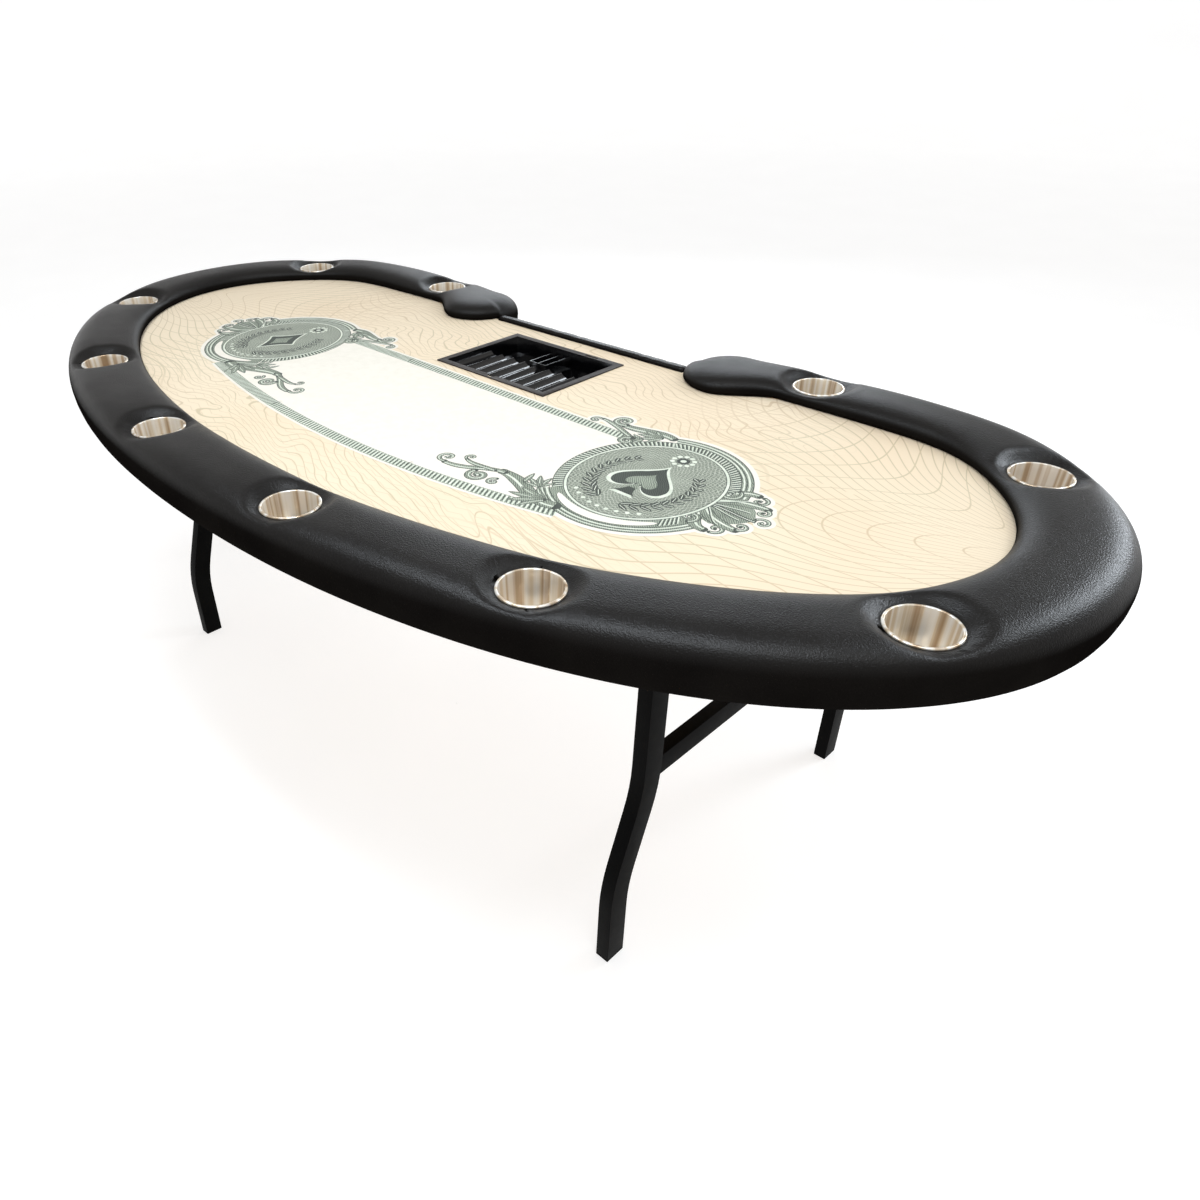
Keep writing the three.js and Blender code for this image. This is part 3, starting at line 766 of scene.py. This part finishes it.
class Print:
    """Flat inked shapes, later ones over earlier ones, cut into one flat mesh with no overlaps.

    Shapes are drawn for the +X half; mirror -1 turns them over to the -X half."""

    def __init__(self, mirror=1.0):
        self.mirror = array([mirror, 1.0])
        self.grounds = []
        self.shapes = []

    def polygon(self, ink, points):
        layer = self.grounds if ink == "panel" else self.shapes
        layer.append((ink, np.asarray(points, float) * self.mirror))

    def strip(self, ink, left, right):
        """A band between two lines of points, as one small quad per step."""
        for corners in zip(left[:-1], left[1:], right[1:], right[:-1]):
            corners = array(corners)
            around = corners - corners.mean(0)
            self.polygon(ink, corners[np.argsort(np.arctan2(around[:, 1], around[:, 0]))])

    def stroke(self, ink, line, widths, shift=0.0):
        """A band along a line. Its widths may change, and it may run beside the line."""
        line = np.asarray(line, float)
        side = directions(line)[1]
        half = side * np.broadcast_to(widths, len(line))[:, None] / 2
        middle = line + side * shift
        self.strip(ink, middle + half, middle - half)

    def disc(self, ink, centre, radius, sides=12):
        self.polygon(ink, oval(*centre, radius, radius, linspace(0, 2 * pi, sides, endpoint=False)))

    def build(self, name, inks):
        """Lays the shapes on the cloth as one mesh; the last shape drawn colours each spot."""
        shapes = self.grounds + self.shapes
        points, edges = [], []
        for _, shape in shapes:
            start, size = len(points), len(shape)
            edges.extend((start + i, start + (i + 1) % size) for i in range(size))
            points.extend(Vector(p) for p in shape)
        flat, _, triangles, *_ = delaunay_2d_cdt(points, edges, [], 0, 1e-5)
        flat = array([tuple(p) for p in flat])
        triangles = array([list(t) for t in triangles if len(t) == 3])
        names = list(inks)
        colours = topmost(shapes, flat[triangles].mean(1), names)
        triangles, colours = triangles[colours >= 0], colours[colours >= 0]
        vertices = column_stack([flat[:, 0], flat[:, 1] + MIDDLE_Y, full(len(flat), CLOTH_Z + PRINT_LIFT)])
        vertices, faces = drop_loose(vertices, triangles.tolist())
        piece = make_object(name, vertices, faces, inks[names[0]], smooth=False)
        for ink in names[1:]:
            piece.data.materials.append(inks[ink])
        piece.data.polygons.foreach_set("material_index", colours.tolist())
        place(piece, TOP, "printed_cloth")


def topmost(shapes, spots, names):
    """For each spot, the ink number of the last shape that covers it, or -1."""
    order = np.argsort(spots[:, 0])
    sorted_x = spots[order, 0]
    found = full(len(spots), -1)
    for ink, shape in shapes:
        low, high = shape.min(0), shape.max(0)
        near = order[np.searchsorted(sorted_x, low[0]):np.searchsorted(sorted_x, high[0])]
        near = near[(spots[near, 1] > low[1]) & (spots[near, 1] < high[1])]
        x, y = spots[near, 0][:, None], spots[near, 1][:, None]
        x0, y0 = shape[:, 0], shape[:, 1]
        x1, y1 = np.roll(x0, -1), np.roll(y0, -1)
        crosses = (y0 > y) != (y1 > y)
        rise = np.where(y1 == y0, 1.0, y1 - y0)
        inside = (crosses & (x < x0 + (y - y0) * (x1 - x0) / rise)).sum(1) % 2 == 1
        found[near[inside]] = names.index(ink)
    return found


def evenly(line, step=PRINT_STEP):
    """The same line with points a step apart."""
    line = np.asarray(line, float)
    run = lengths(line)
    at = linspace(0, run[-1], max(3, int(run[-1] / step) + 1))
    return stack([np.interp(at, run, line[:, 0]), np.interp(at, run, line[:, 1])], 1)


def bezier(*points):
    t = linspace(0, 1, 60)[:, None]
    a, b, c, d = (array(p, float) for p in points)
    return a * (1 - t) ** 3 + 3 * b * t * (1 - t) ** 2 + 3 * c * t ** 2 * (1 - t) + d * t ** 3


def spiral(x, y, radius, start, turns):
    """A volute that winds in from a start angle in degrees. Positive turns run anticlockwise."""
    t = linspace(0, 1, 90)
    r = radius * (1 - 0.8 * t)
    return oval(x, y, r, r, np.radians(start + 360 * turns * t))


def round_seal(degrees, offset):
    """Points round the seal's oval edge, moved out by an offset."""
    half_width, half_height = SEAL["half_width"] + offset, SEAL["half_height"] + offset
    return oval(SEAL["x"], SEAL["y"], half_width, half_height, np.radians(degrees))


def scroll(art, line, width, ends=(0.25, 0.25)):
    """An engraved scroll: dark outline, hatched body and light ridge, thinner at its ends."""
    line = evenly(line)
    t = linspace(0, 1, len(line))
    taper = ends[0] + (1 - ends[0]) * smooth_step(t / 0.3)
    taper = taper * (ends[1] + (1 - ends[1]) * smooth_step((1 - t) / 0.3))
    body = width * taper
    art.stroke("panel", line, body + 2 * HALO)
    for end in (0, -1):
        art.disc("panel", line[end], body[end] / 2 + HALO)
        art.disc("dark", line[end], body[end] / 2 + 0.0006, 8)
    art.stroke("dark", line, body)
    art.stroke("mid", line, np.maximum(body - 0.0026, 0.0004))
    art.stroke("light", line, np.maximum(body * 0.17, 0.0003), 0.1 * width)


def curl(art, x, y, radius, start, turns, width):
    """A volute with a round eye."""
    scroll(art, spiral(x, y, radius, start, turns), width, ends=(0.9, 0.4))
    art.disc("dark", (x, y), width * 0.42, 8)
    art.disc("light", (x, y), width * 0.22, 6)


def swash(art, width, ends, *points):
    scroll(art, bezier(*points), width, ends)


def leaf(art, base, degrees, length, width, bend=0.0):
    """A pointed lobe with a dark edge and a midrib."""
    t = linspace(0, 1, 12)
    half = width / 2 * np.sin(pi * t ** 0.8) ** 0.8
    across = bend * length * t ** 2

    def outline(grow):
        upper = stack([length * t, across + half + grow], 1)
        lower = stack([length * t, across - half - grow], 1)[::-1]
        return concatenate([upper, lower]) @ turn_by(degrees) + base

    art.polygon("panel", outline(HALO * 0.7))
    art.polygon("dark", outline(0.0007))
    art.polygon("mid", outline(-0.0004)[1:-1])
    art.stroke("light", stack([length * t, across], 1)[1:-2] @ turn_by(degrees) + base, 0.0012)


def leaves(art, base, degrees, spread, count, length, width):
    """Lobes fanned out from one stem, the middle ones longest."""
    for share in linspace(-1, 1, count):
        size = 1 - 0.3 * share ** 2
        leaf(art, base, degrees + spread * share, length * size, width * size, 0.3 * share)


def rope(art, line):
    """A twisted rope border: dark slanting strands on a pale band."""
    line = evenly(line, ROPE_PITCH)
    smooth = evenly(line, 0.015)
    art.stroke("panel", smooth, ROPE_WIDTH + 0.012)
    art.stroke("light", smooth, ROPE_WIDTH)
    for at, ahead, out in list(zip(line, *directions(line)))[:-1]:
        for ink, shift, thick, tall in (("mid", 0.0, 0.0044, 0.46), ("dark", 0.0014, 0.0015, 0.36)):
            low = at + ahead * (shift + 0.0026) - out * ROPE_WIDTH * tall
            high = at + ahead * (shift - 0.0026) + out * ROPE_WIDTH * tall
            art.polygon(ink, [low, low + ahead * thick, high + ahead * thick, high])
    for side in (1, -1):
        art.stroke("mid", smooth, 0.0012, side * ROPE_WIDTH / 2)


def ribs(art, start, end, inner, outer, count, lean):
    """Slanting ribs between two offsets of the seal's edge."""
    pitch = (end - start) / count
    for k in range(count):
        for ink, shift, thick in (("dark", 0.0, 0.36), ("light", 0.45, 0.32)):
            foot = start + k * pitch + shift * pitch
            low = round_seal(array([foot, foot + thick * pitch]), inner)
            high = round_seal(array([foot + lean + thick * pitch, foot + lean]), outer)
            art.polygon(ink, concatenate([low, high]))


def arc_band(art, ink, start, end, inner, outer):
    degrees = linspace(start, end, max(4, int(abs(end - start) / 2.5)))
    art.strip(ink, round_seal(degrees, inner), round_seal(degrees, outer))


def spade():
    """A card spade about the origin, one unit tall."""
    right = bezier((0, 0.55), (0.08, 0.28), (0.5, 0.1), (0.46, -0.16))[::3]
    lobe = bezier((0.46, -0.16), (0.42, -0.4), (0.12, -0.36), (0.045, -0.12))[::4]
    stem = bezier((0.045, -0.12), (0.06, -0.38), (0.12, -0.46), (0.22, -0.5))[::6]
    half = concatenate([right, lobe[1:], stem[1:]])
    return concatenate([half, (half * [-1, 1])[::-1][:-1]])


def diamond():
    """A card diamond with bowed sides, one unit tall."""
    side = bezier((0, 0.55), (0.1, 0.3), (0.22, 0.12), (0.38, 0.0))[::4]
    half = concatenate([side, (side * [1, -1])[::-1]])
    return concatenate([half, (half * [-1, 1])[::-1][1:-1]])


def draw_seal(art, symbol):
    """The seal's face: a machine-turned ground, a card suit, and a laurel spray on either side."""
    middle = array([SEAL["x"], SEAL["y"]])
    around = arange(0, 360, 4)
    for ink, offset in (("dark", 0.003), ("light", 0.0018), ("dark", -0.0022), ("rosette", -0.0034)):
        art.polygon(ink, round_seal(around, offset))
    for side in (-1, 1):
        for share in linspace(0.0, 1.0, 11):
            a = radians(-76 + 112 * share)
            stem = middle + [side * 0.076 * cos(a), 0.086 * sin(a) - 0.004]
            out = np.degrees(atan2(cos(a) * 0.7, -side * sin(a) * 0.7))
            for lean, width in ((34, 0.0095), (-34, 0.0085)):
                leaf_tip(art, stem, out + lean, 0.024 - 0.008 * share, width)
    for ink, size, drop in (("light", 0.118, 0.004), ("deep", 0.104, 0.004), ("mid", 0.056, 0.006)):
        art.polygon(ink, symbol * size + middle + [0, -drop])
    star = middle + [0, 0.09]
    for spot in oval(*star, 0.017, 0.017, 2 * pi * arange(10) / 10):
        art.disc("light", spot, 0.0042, 8)
    art.disc("deep", star, 0.0105, 16)
    art.disc("light", star, 0.005, 10)
    for spot in oval(*middle, 0.1007, 0.112, np.radians(-126 + 9 * arange(9))):
        art.disc("light", spot, 0.0036, 8)


def leaf_tip(art, base, degrees, length, width):
    """A small dark leaf with a pale rib."""
    t = linspace(0, 1, 7)
    half = width / 2 * np.sin(pi * t) ** 0.8
    shape = concatenate([stack([length * t, half], 1), stack([length * t, -half], 1)[::-1][1:-1]])
    art.polygon("deep", shape @ turn_by(degrees) + base)
    art.stroke("light", stack([length * t, 0 * t], 1)[1:-1] @ turn_by(degrees) + base, 0.0012)


def draw_bands(art):
    """The seal's rim: three ribbed or rolled bands, and a plain crescent in the lower one."""
    arc_band(art, "panel", -25, 112, 0.0, 0.045)
    arc_band(art, "panel", 95, 240, 0.0, 0.026)
    arc_band(art, "panel", 225, 335, 0.0, 0.048)

    # Beside the panel: ribs.
    arc_band(art, "mid", 98, 240, 0.0, 0.019)
    ribs(art, 98, 238, 0.002, 0.018, 46, 1.2)
    arc_band(art, "dark", 98, 240, 0.0185, 0.0197)

    # Above: feathered inside, two smooth rolls outside.
    arc_band(art, "mid", -16, 112, 0.0, 0.037)
    ribs(art, -12, 110, 0.003, 0.018, 40, 3.0)
    inks = ("dark", "light", "dark", "light", "dark")
    upper = ((0.018, 0.0195), (0.0215, 0.024), (0.0258, 0.0272), (0.029, 0.032), (0.0356, 0.0372))
    for ink, (inner, outer) in zip(inks, upper):
        arc_band(art, ink, -16, 112, inner, outer)

    # Below: the same rolls round the crescent.
    arc_band(art, "mid", 230, 336, 0.0, 0.04)
    lower = ((0.023, 0.0244), (0.0262, 0.029), (0.031, 0.0322), (0.0335, 0.0356), (0.0386, 0.0402))
    for ink, (inner, outer) in zip(inks, lower):
        arc_band(art, ink, 226, 336, inner, outer)
    crescent = linspace(238, 318, 34)
    depth = 0.0075 * np.sin(np.radians((crescent - 238) / 80 * 180)) ** 0.35 + 0.0003
    inside, outside = round_seal(crescent, 0.0125 - depth), round_seal(crescent, 0.0125 + depth)
    art.strip("dark", inside - [0, 0.0006], outside - [0, 0.001])
    art.strip("white", inside, outside)
    ribs(art, 321, 334, 0.003, 0.02, 5, -4.0)


def draw_outer_fan(art):
    """Curled lobes on the seal's outer side, with a studded spine and volutes."""
    root = (0.602, -0.106)
    art.polygon("mid", [
        (0.598, -0.07), (0.64, -0.06), (0.668, -0.082), (0.682, -0.106), (0.668, -0.13), (0.64, -0.154),
        (0.598, -0.142),
    ])
    for x, y, curl_x, curl_y, size in (
        (0.64, -0.039, 0.655, -0.052, 0.0125), (0.64, -0.173, 0.655, -0.16, 0.0125),
        (0.672, -0.066, 0.677, -0.079, 0.0105), (0.672, -0.146, 0.677, -0.133, 0.0105),
    ):
        up = 1 if y > root[1] else -1
        bow = (root[0] + 0.01, (root[1] + y) / 2 + up * 0.01)
        scroll(art, bezier(root, bow, (x - 0.022, y), (x + 0.004, y)), 0.02, ends=(0.4, 0.7))
        scroll(art, spiral(curl_x, curl_y, size, 90 * up, -1.05 * up), 0.0075, ends=(1.0, 0.5))
        art.disc("dark", (curl_x, curl_y), 0.003, 8)
    for x, y in ((0.65, -0.062), (0.664, -0.092), (0.664, -0.12), (0.65, -0.15)):
        line = evenly(bezier(root, (0.625, (root[1] + y) / 2), (x - 0.012, y), (x, y)))
        art.stroke("dark", line, 0.0018)
        art.stroke("light", line, 0.0016, 0.0022)
    spine = evenly(bezier(root, (0.63, -0.1), (0.66, -0.112), (0.684, -0.107)))
    art.stroke("dark", spine, 0.0075)
    for spot in spine[1:-1]:
        art.disc("light", spot, 0.0015, 6)
    curl(art, 0.692, -0.104, 0.012, 160, -1.1, 0.007)
    curl(art, 0.6105, -0.06, 0.0165, 60, -1.25, 0.0085)
    curl(art, 0.6085, -0.156, 0.015, -60, 1.25, 0.008)


def draw_corner_scrolls(art):
    """The scroll over the panel's upper corner, and tendrils that reach into its lower corner."""
    swash(art, 0.021, (0.8, 0.8), (0.432, 0.04), (0.402, 0.05), (0.372, 0.026), (0.342, 0.03))
    leaves(art, (0.42, 0.03), 196, 34, 5, 0.046, 0.014)
    leaves(art, (0.398, 0.006), 214, 30, 3, 0.036, 0.013)
    curl(art, 0.327, 0.044, 0.0165, -40, -1.3, 0.0126)
    swash(art, 0.0119, (0.8, 0.7), (0.382, -0.002), (0.352, 0.008), (0.322, 0.026), (0.294, 0.028))
    curl(art, 0.286, 0.018, 0.01, 60, 1.1, 0.0077)
    curl(art, 0.38, -0.015, 0.0135, 100, 1.2, 0.0105)

    swash(art, 0.0252, (0.9, 0.7), (0.452, -0.262), (0.405, -0.278), (0.372, -0.232), (0.318, -0.234))
    swash(art, 0.0133, (0.9, 0.8), (0.322, -0.234), (0.286, -0.238), (0.27, -0.272), (0.226, -0.272))
    curl(art, 0.215, -0.257, 0.015, -60, -1.2, 0.0087)
    swash(art, 0.0105, (0.8, 0.7), (0.306, -0.24), (0.286, -0.24), (0.262, -0.25), (0.246, -0.242))
    curl(art, 0.244, -0.232, 0.009, -100, -1.1, 0.0063)
    curl(art, 0.298, -0.269, 0.017, 150, 1.35, 0.0119)
    curl(art, 0.331, -0.268, 0.0098, 100, 1.2, 0.0077)
    leaves(art, (0.395, -0.236), 128, 40, 5, 0.04, 0.011)
    leaf(art, (0.366, -0.238), 104, 0.034, 0.009)
    leaves(art, (0.432, -0.258), 196, 30, 5, 0.062, 0.015)


def print_inks():
    white = print_material("print_white", (227, 221, 208), (233, 227, 215))
    return {
        "panel": white,
        "white": white,
        "dark": print_material("print_dark_green", (42, 50, 44), (64, 73, 65)),
        "mid": engraved_material("print_mid_green", (152, 160, 143), (82, 92, 81)),
        "light": print_material("print_pale_green", (198, 205, 188), (222, 226, 211)),
        "deep": engraved_material("print_deep_green", (62, 71, 63), (34, 42, 37)),
        "rosette": rosette_material(),
    }


def build_print():
    """The cloth's printed design: a plain panel between two seals, edged with rope."""
    inks = print_inks()

    def panel_line(start, end, count, curved):
        x = linspace(start, end, count)
        return stack([x, PANEL_BOTTOM_Y + 0.26 * x ** 2 if curved else full(count, PANEL_TOP_Y)], 1)

    def panel_part(art, start, end, rope_end):
        lower = panel_line(start, end, 14, True)
        art.polygon("panel", concatenate([panel_line(start, end, 14, False), lower[::-1]]))
        rope(art, panel_line(start, rope_end, 30, False))
        rope(art, panel_line(start, end, 30, True))

    middle = Print()
    panel_part(middle, -PRINT_SPLIT_X, PRINT_SPLIT_X, PRINT_SPLIT_X)
    middle.build("print_panel", inks)
    for name, mirror, symbol in (("right", 1.0, spade()), ("left", -1.0, diamond())):
        art = Print(mirror)
        panel_part(art, PRINT_SPLIT_X, 0.47, 0.385)
        draw_bands(art)
        draw_outer_fan(art)
        draw_corner_scrolls(art)
        draw_seal(art, symbol)
        art.build(f"print_{name}_seal", inks)


# ---------- dealer's trim ----------

def build_trim(material):
    """The padded strip that caps the straight edge, with softly rolled ends."""
    low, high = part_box("dealer_trim")
    deck_y = MIDDLE_Y + DEALER_EDGE_Y
    top, bottom = high.z, low.z
    profile = [(deck_y + 0.002, bottom + 0.004), (deck_y + 0.002, bottom)]
    profile += arc_rows(high.y - 0.004, bottom + 0.004, 0.004, -90, 0, 5)
    profile += arc_rows(high.y - 0.008, top - 0.0082, 0.008, 0, 90, 8)
    profile += arc_rows(low.y + 0.007, top - 0.0072, 0.007, 90, 175, 7)
    profile += [(low.y + 0.0006, CLOTH_Z + 0.0005)]
    rows = len(profile)
    xs = linspace(low.x, high.x, 121)
    middle = array([(low.y + high.y) / 2, (top + bottom) / 2])
    rng = np.random.default_rng(5)
    ripple = np.interp(xs, linspace(low.x, high.x, 34), rng.normal(0, 0.0005, 34))
    vertices = []
    for x, wave in zip(xs, np.clip(ripple, -0.0008, 0.0)):
        near_end = min(x - low.x, high.x - x)
        shrink = 1 - 0.08 * (1 - min(1.0, near_end / 0.006)) ** 2
        for y, z in profile:
            pulled = middle + (array([y, z]) - middle) * shrink
            vertices.append((x, pulled[0], pulled[1] + (wave if z > top - 0.01 else 0)))
    faces = grid_faces(len(xs), rows, closed_rows=True)
    faces += [list(range(rows))[::-1], list(range((len(xs) - 1) * rows, len(xs) * rows))]
    trim = make_object("dealer_trim_upholstery", vertices, faces, material)
    face_outwards(trim)
    smooth_by_angle(trim, 45)
    place(trim, TOP, "vinyl", "dealer_trim")


# ---------- hardware ----------

def join_copies(name, shapes, material, smooth=True):
    """One table-top piece of zinc-plated steel out of many small shapes."""
    vertices, faces = [], []
    for more_vertices, more_faces in shapes:
        faces += [[len(vertices) + i for i in face] for face in more_faces]
        vertices += more_vertices
    place(make_object(name, vertices, faces, material, smooth), TOP, "zinc_steel")


def screw_head(x, y, z):
    """A domed screw head with a cross slot, facing down."""
    radius, sides = 0.0042, 20
    vertices = []
    for share, height in ((1, 0.0), (1, 0.0006), (0.86, 0.0016), (0.5, 0.0023), (0.0001 / radius, 0.0025)):
        for i in range(sides):
            a = 2 * pi * i / sides
            slot = 0.0009 if height > 0.0014 and abs(sin(2 * a)) < 0.35 else 0
            vertices.append((x + radius * share * cos(a), y + radius * share * sin(a), z - height + slot))
    return vertices, [face[1:] + face[:1] for face in grid_faces(5, sides, closed_rows=True)]


def build_screws(material):
    """Two screws through each hinge plate, four through each stay plate, and a row through each batten."""
    places = []
    plate = 0.0043
    for side in ("right", "left"):
        for bracket, inset, offsets in (
            ("front_hinge", 0.008, (0,)), ("back_hinge", 0.008, (0,)), ("stay", 0.0065, (-0.014, 0.014)),
        ):
            low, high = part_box(f"{side}_{bracket}_bracket")
            y = (low.y + high.y) / 2
            places += [(x, y + d, high.z - plate) for x in (low.x + inset, high.x - inset) for d in offsets]
        low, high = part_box(f"{side}_cross_batten")
        for share in (0.06, 0.26, 0.74, 0.94):
            y = low.y + (high.y - low.y) * share
            places += [(x, y, low.z - 0.0001) for x in (low.x + 0.014, high.x - 0.014)]
    join_copies("underside_screws", [screw_head(*centre) for centre in places], material)


def build_staples(material):
    """Staples that hold the vinyl's margin to the underside of the table's edge."""
    outer, _, spine = rail_stations(0.045)
    half_length, half_wire, levels = 0.0055, 0.0006, (STIFFENER_Z - 0.0012, STIFFENER_Z - 0.0019)
    corners = ((-1, -1), (1, -1), (1, 1), (-1, 1))
    faces = ((0, 1, 2, 3), (7, 6, 5, 4), (0, 4, 5, 1), (1, 5, 6, 2), (2, 6, 7, 3), (3, 7, 4, 0))
    rng = random.Random(11)
    staples = []
    for edge, mid in zip(outer[1:-1], spine[1:-1]):
        inward = (mid - edge) / np.linalg.norm(mid - edge)
        turn = rng.uniform(-0.25, 0.25)
        direction = array([-inward[1], inward[0]]) * cos(turn) + inward * sin(turn)
        across = array([-direction[1], direction[0]])
        centre = edge + inward * (0.05 + rng.uniform(-0.003, 0.003)) + [0, MIDDLE_Y]
        crown = [centre + direction * s * half_length + across * t * half_wire for s, t in corners]
        staples.append(([(*spot, level) for level in levels for spot in crown], faces))
    join_copies("edge_staples", staples, material, smooth=False)


def build_tray(flange, inside):
    """The chip tray: a satin flange round a glossy inside, and the card divider. One plastic in two painted
    tones: the flange lighter brown as painted light on the top, the inside and the divider near black as
    painted shade in the recess.
    """
    tray = refined_copy("chip_tray", "chip_tray_moulding", flange, "tray_plastic", 0.0009, 3)
    tray.data.materials.append(inside)
    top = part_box("chip_tray")[1].z
    # Faces below the flange's top take the near-black inside tone: painted shade in the recess.
    for face in tray.data.polygons:
        if face.center.z < top - 0.003:
            face.material_index = 1
    refined_copy("card_divider", "card_divider_plates", inside, "tray_plastic", 0.0005)


def build_hardware(powder, zinc, rubber):
    for side in ("right", "left"):
        for end in ("front", "back"):
            near = f"{side}_{end}"
            refined_copy(f"{near}_leg", f"{near}_leg_tube", powder, "leg_paint", 0.0032, 4)
            refined_copy(f"{near}_foot_cap", f"{near}_foot", rubber, "rubber", 0.0008)
            refined_copy(f"{near}_hinge_bracket", f"{near}_hinge_plate", zinc, "zinc_steel", 0.0006)
        refined_copy(f"{side}_leg_crossbar", f"{side}_crossbar_tube", powder, "leg_paint", 0.0028, 4)
        refined_copy(f"{side}_stay_lug", f"{side}_stay_ears", powder, "leg_paint", 0.0005)
        for node, name, bevel in (
            ("stay_bracket", "stay_plate", 0.0006), ("upper_stay", "upper_stay_bar", 0.0006),
            ("lower_stay", "lower_stay_bar", 0.0006), ("pivot_bar", "pivot_rod", 0.0008),
        ):
            refined_copy(f"{side}_{node}", f"{side}_{name}", zinc, "zinc_steel", bevel)


def repaint(node, material):
    """Gives a CAD node that stays in view a finished material."""
    mesh = frame["nodes"][node].data
    for i in range(len(mesh.materials)):
        mesh.materials[i] = material


# ---------- camera, floor and light ----------

def build_camera():
    """The photograph's view: azimuth 47.6 degrees, looking down 34.3 degrees."""
    data = bpy.data.cameras.new("camera")
    camera = add_object("camera", data)
    camera.matrix_world = Matrix.Translation((1.24926, MIDDLE_Y - 1.1117, 1.33548))
    for degrees, axis in ((47.561, "Z"), (90 - 34.259, "X"), (-1.7645, "Z")):
        camera.matrix_world = camera.matrix_world @ Matrix.Rotation(radians(degrees), 4, axis)
    data.lens = 27.42
    data.sensor_width = 36
    data.shift_x = 0.0877
    data.shift_y = 0.012
    bpy.context.scene.camera = camera


def area_light(name, where, target, along, size, power):
    """A cool rectangular lamp with its long side along a direction. The camera doesn't see it."""
    data = bpy.data.lights.new(name, "AREA")
    data.shape = "RECTANGLE"
    data.size, data.size_y = size
    data.energy = power
    data.color = (0.86, 0.93, 1.0)
    light = add_object(name, data)
    back = (Vector(where) - Vector(target)).normalized()
    short = back.cross(Vector(along)).normalized()
    light.matrix_world = Matrix((short.cross(back), short, back)).transposed().to_4x4()
    light.location = where
    light.visible_camera = False


def build_lights():
    """Three lamps that draw the highlights, a wide sun for soft shadows, and an even sky."""
    area_light("overhead_strip", (0.36, -0.6, 2.3), (0.36, -0.45, 0.75), (1, 0, 0), (2.2, 0.26), 30)
    area_light("right_window", (1.5, 2.4, 2.25), (1.05, 0.0, 0.75), (0.15, -0.65, 0.74), (2.8, 0.45), 48)
    area_light("back_window", (-1.95, 3.2, 2.05), (0.0, 0.2, 0.75), (0.85, 0.5, 0), (2.8, 0.6), 27)
    data = bpy.data.lights.new("studio_sky", "SUN")
    data.angle = radians(40)
    data.energy = 0.5
    sun = add_object("studio_sky", data)
    sun.rotation_euler = Vector((0.6, -0.25, 2.2)).to_track_quat("Z", "Y").to_euler()
    world = bpy.data.worlds.new("studio")
    bpy.context.scene.world = world
    world.use_nodes = True
    background = world.node_tree.nodes["Background"]
    background.inputs["Color"].default_value = (1.0, 0.97, 0.94, 1.0)
    background.inputs["Strength"].default_value = 0.38


def build_floor():
    """A white floor that sweeps up into a round wall. The wall darkens upwards, out of view."""
    n = Nodes("studio_floor")
    raised = n.ease(n.axis("Z", n.place()), 1.8, 4.2)
    tone = n.ramp(n.noise(3, 2), (0.3, 180, 180, 180), (0.7, 184, 184, 184))
    material = n.finish(
        Base_Color=n.blend(raised, tone, linear(132, 132, 132)), Roughness=1.0, Specular_IOR_Level=0.0,
        Emission_Color=(1, 1, 1, 1), Emission_Strength=n.rescale(raised, 0.69, 0.18),
        Normal=n.bump(n.noise(300, 2), 0.02, 0.0002),
    )
    sweep = [(0.001, 0.0), (9.0, 0.0), (10.4, 0.15), (11.3, 0.8)]
    sweep += [(11.6, z) for z in (1.6, 2.2, 2.8, 3.4, 4.0, 5.5, 7.5)]
    vertices, faces = lathe(sweep, 64, (0, 0))
    make_object("studio_floor", vertices, faces, material)


# ---------- build ----------

bpy.context.scene.view_settings.view_transform = "Standard"
build_camera()
build_floor()
build_lights()

zinc = zinc_material()
plywood = plywood_material()
build_rail(vinyl_material("rail_vinyl", 0.29, 0.4))
build_trim(vinyl_material("trim_vinyl", 0.1, 0.18))
build_cups(cup_steel_material())
build_cloth(printed_cloth_material())
build_print()
# One tray plastic in two tones: painted light on the flange, painted shade inside.
build_tray(
    tray_plastic_material("tray_flange_painted_light", (40, 34, 30), (52, 45, 40), 0.4, 0.5, 0.12),
    tray_plastic_material("tray_inside_painted_shade", (3, 3, 4), (6, 6, 7), 0.09, 0.14, 0.8),
)
build_hardware(powder_coat_material(), zinc, rubber_material())
build_screws(zinc)
build_staples(zinc)
for wooden in ("deck_board", "edge_stiffener", "rail_core", "right_cross_batten", "left_cross_batten"):
    repaint(wooden, plywood)
repaint("foam_underlay", foam_material())
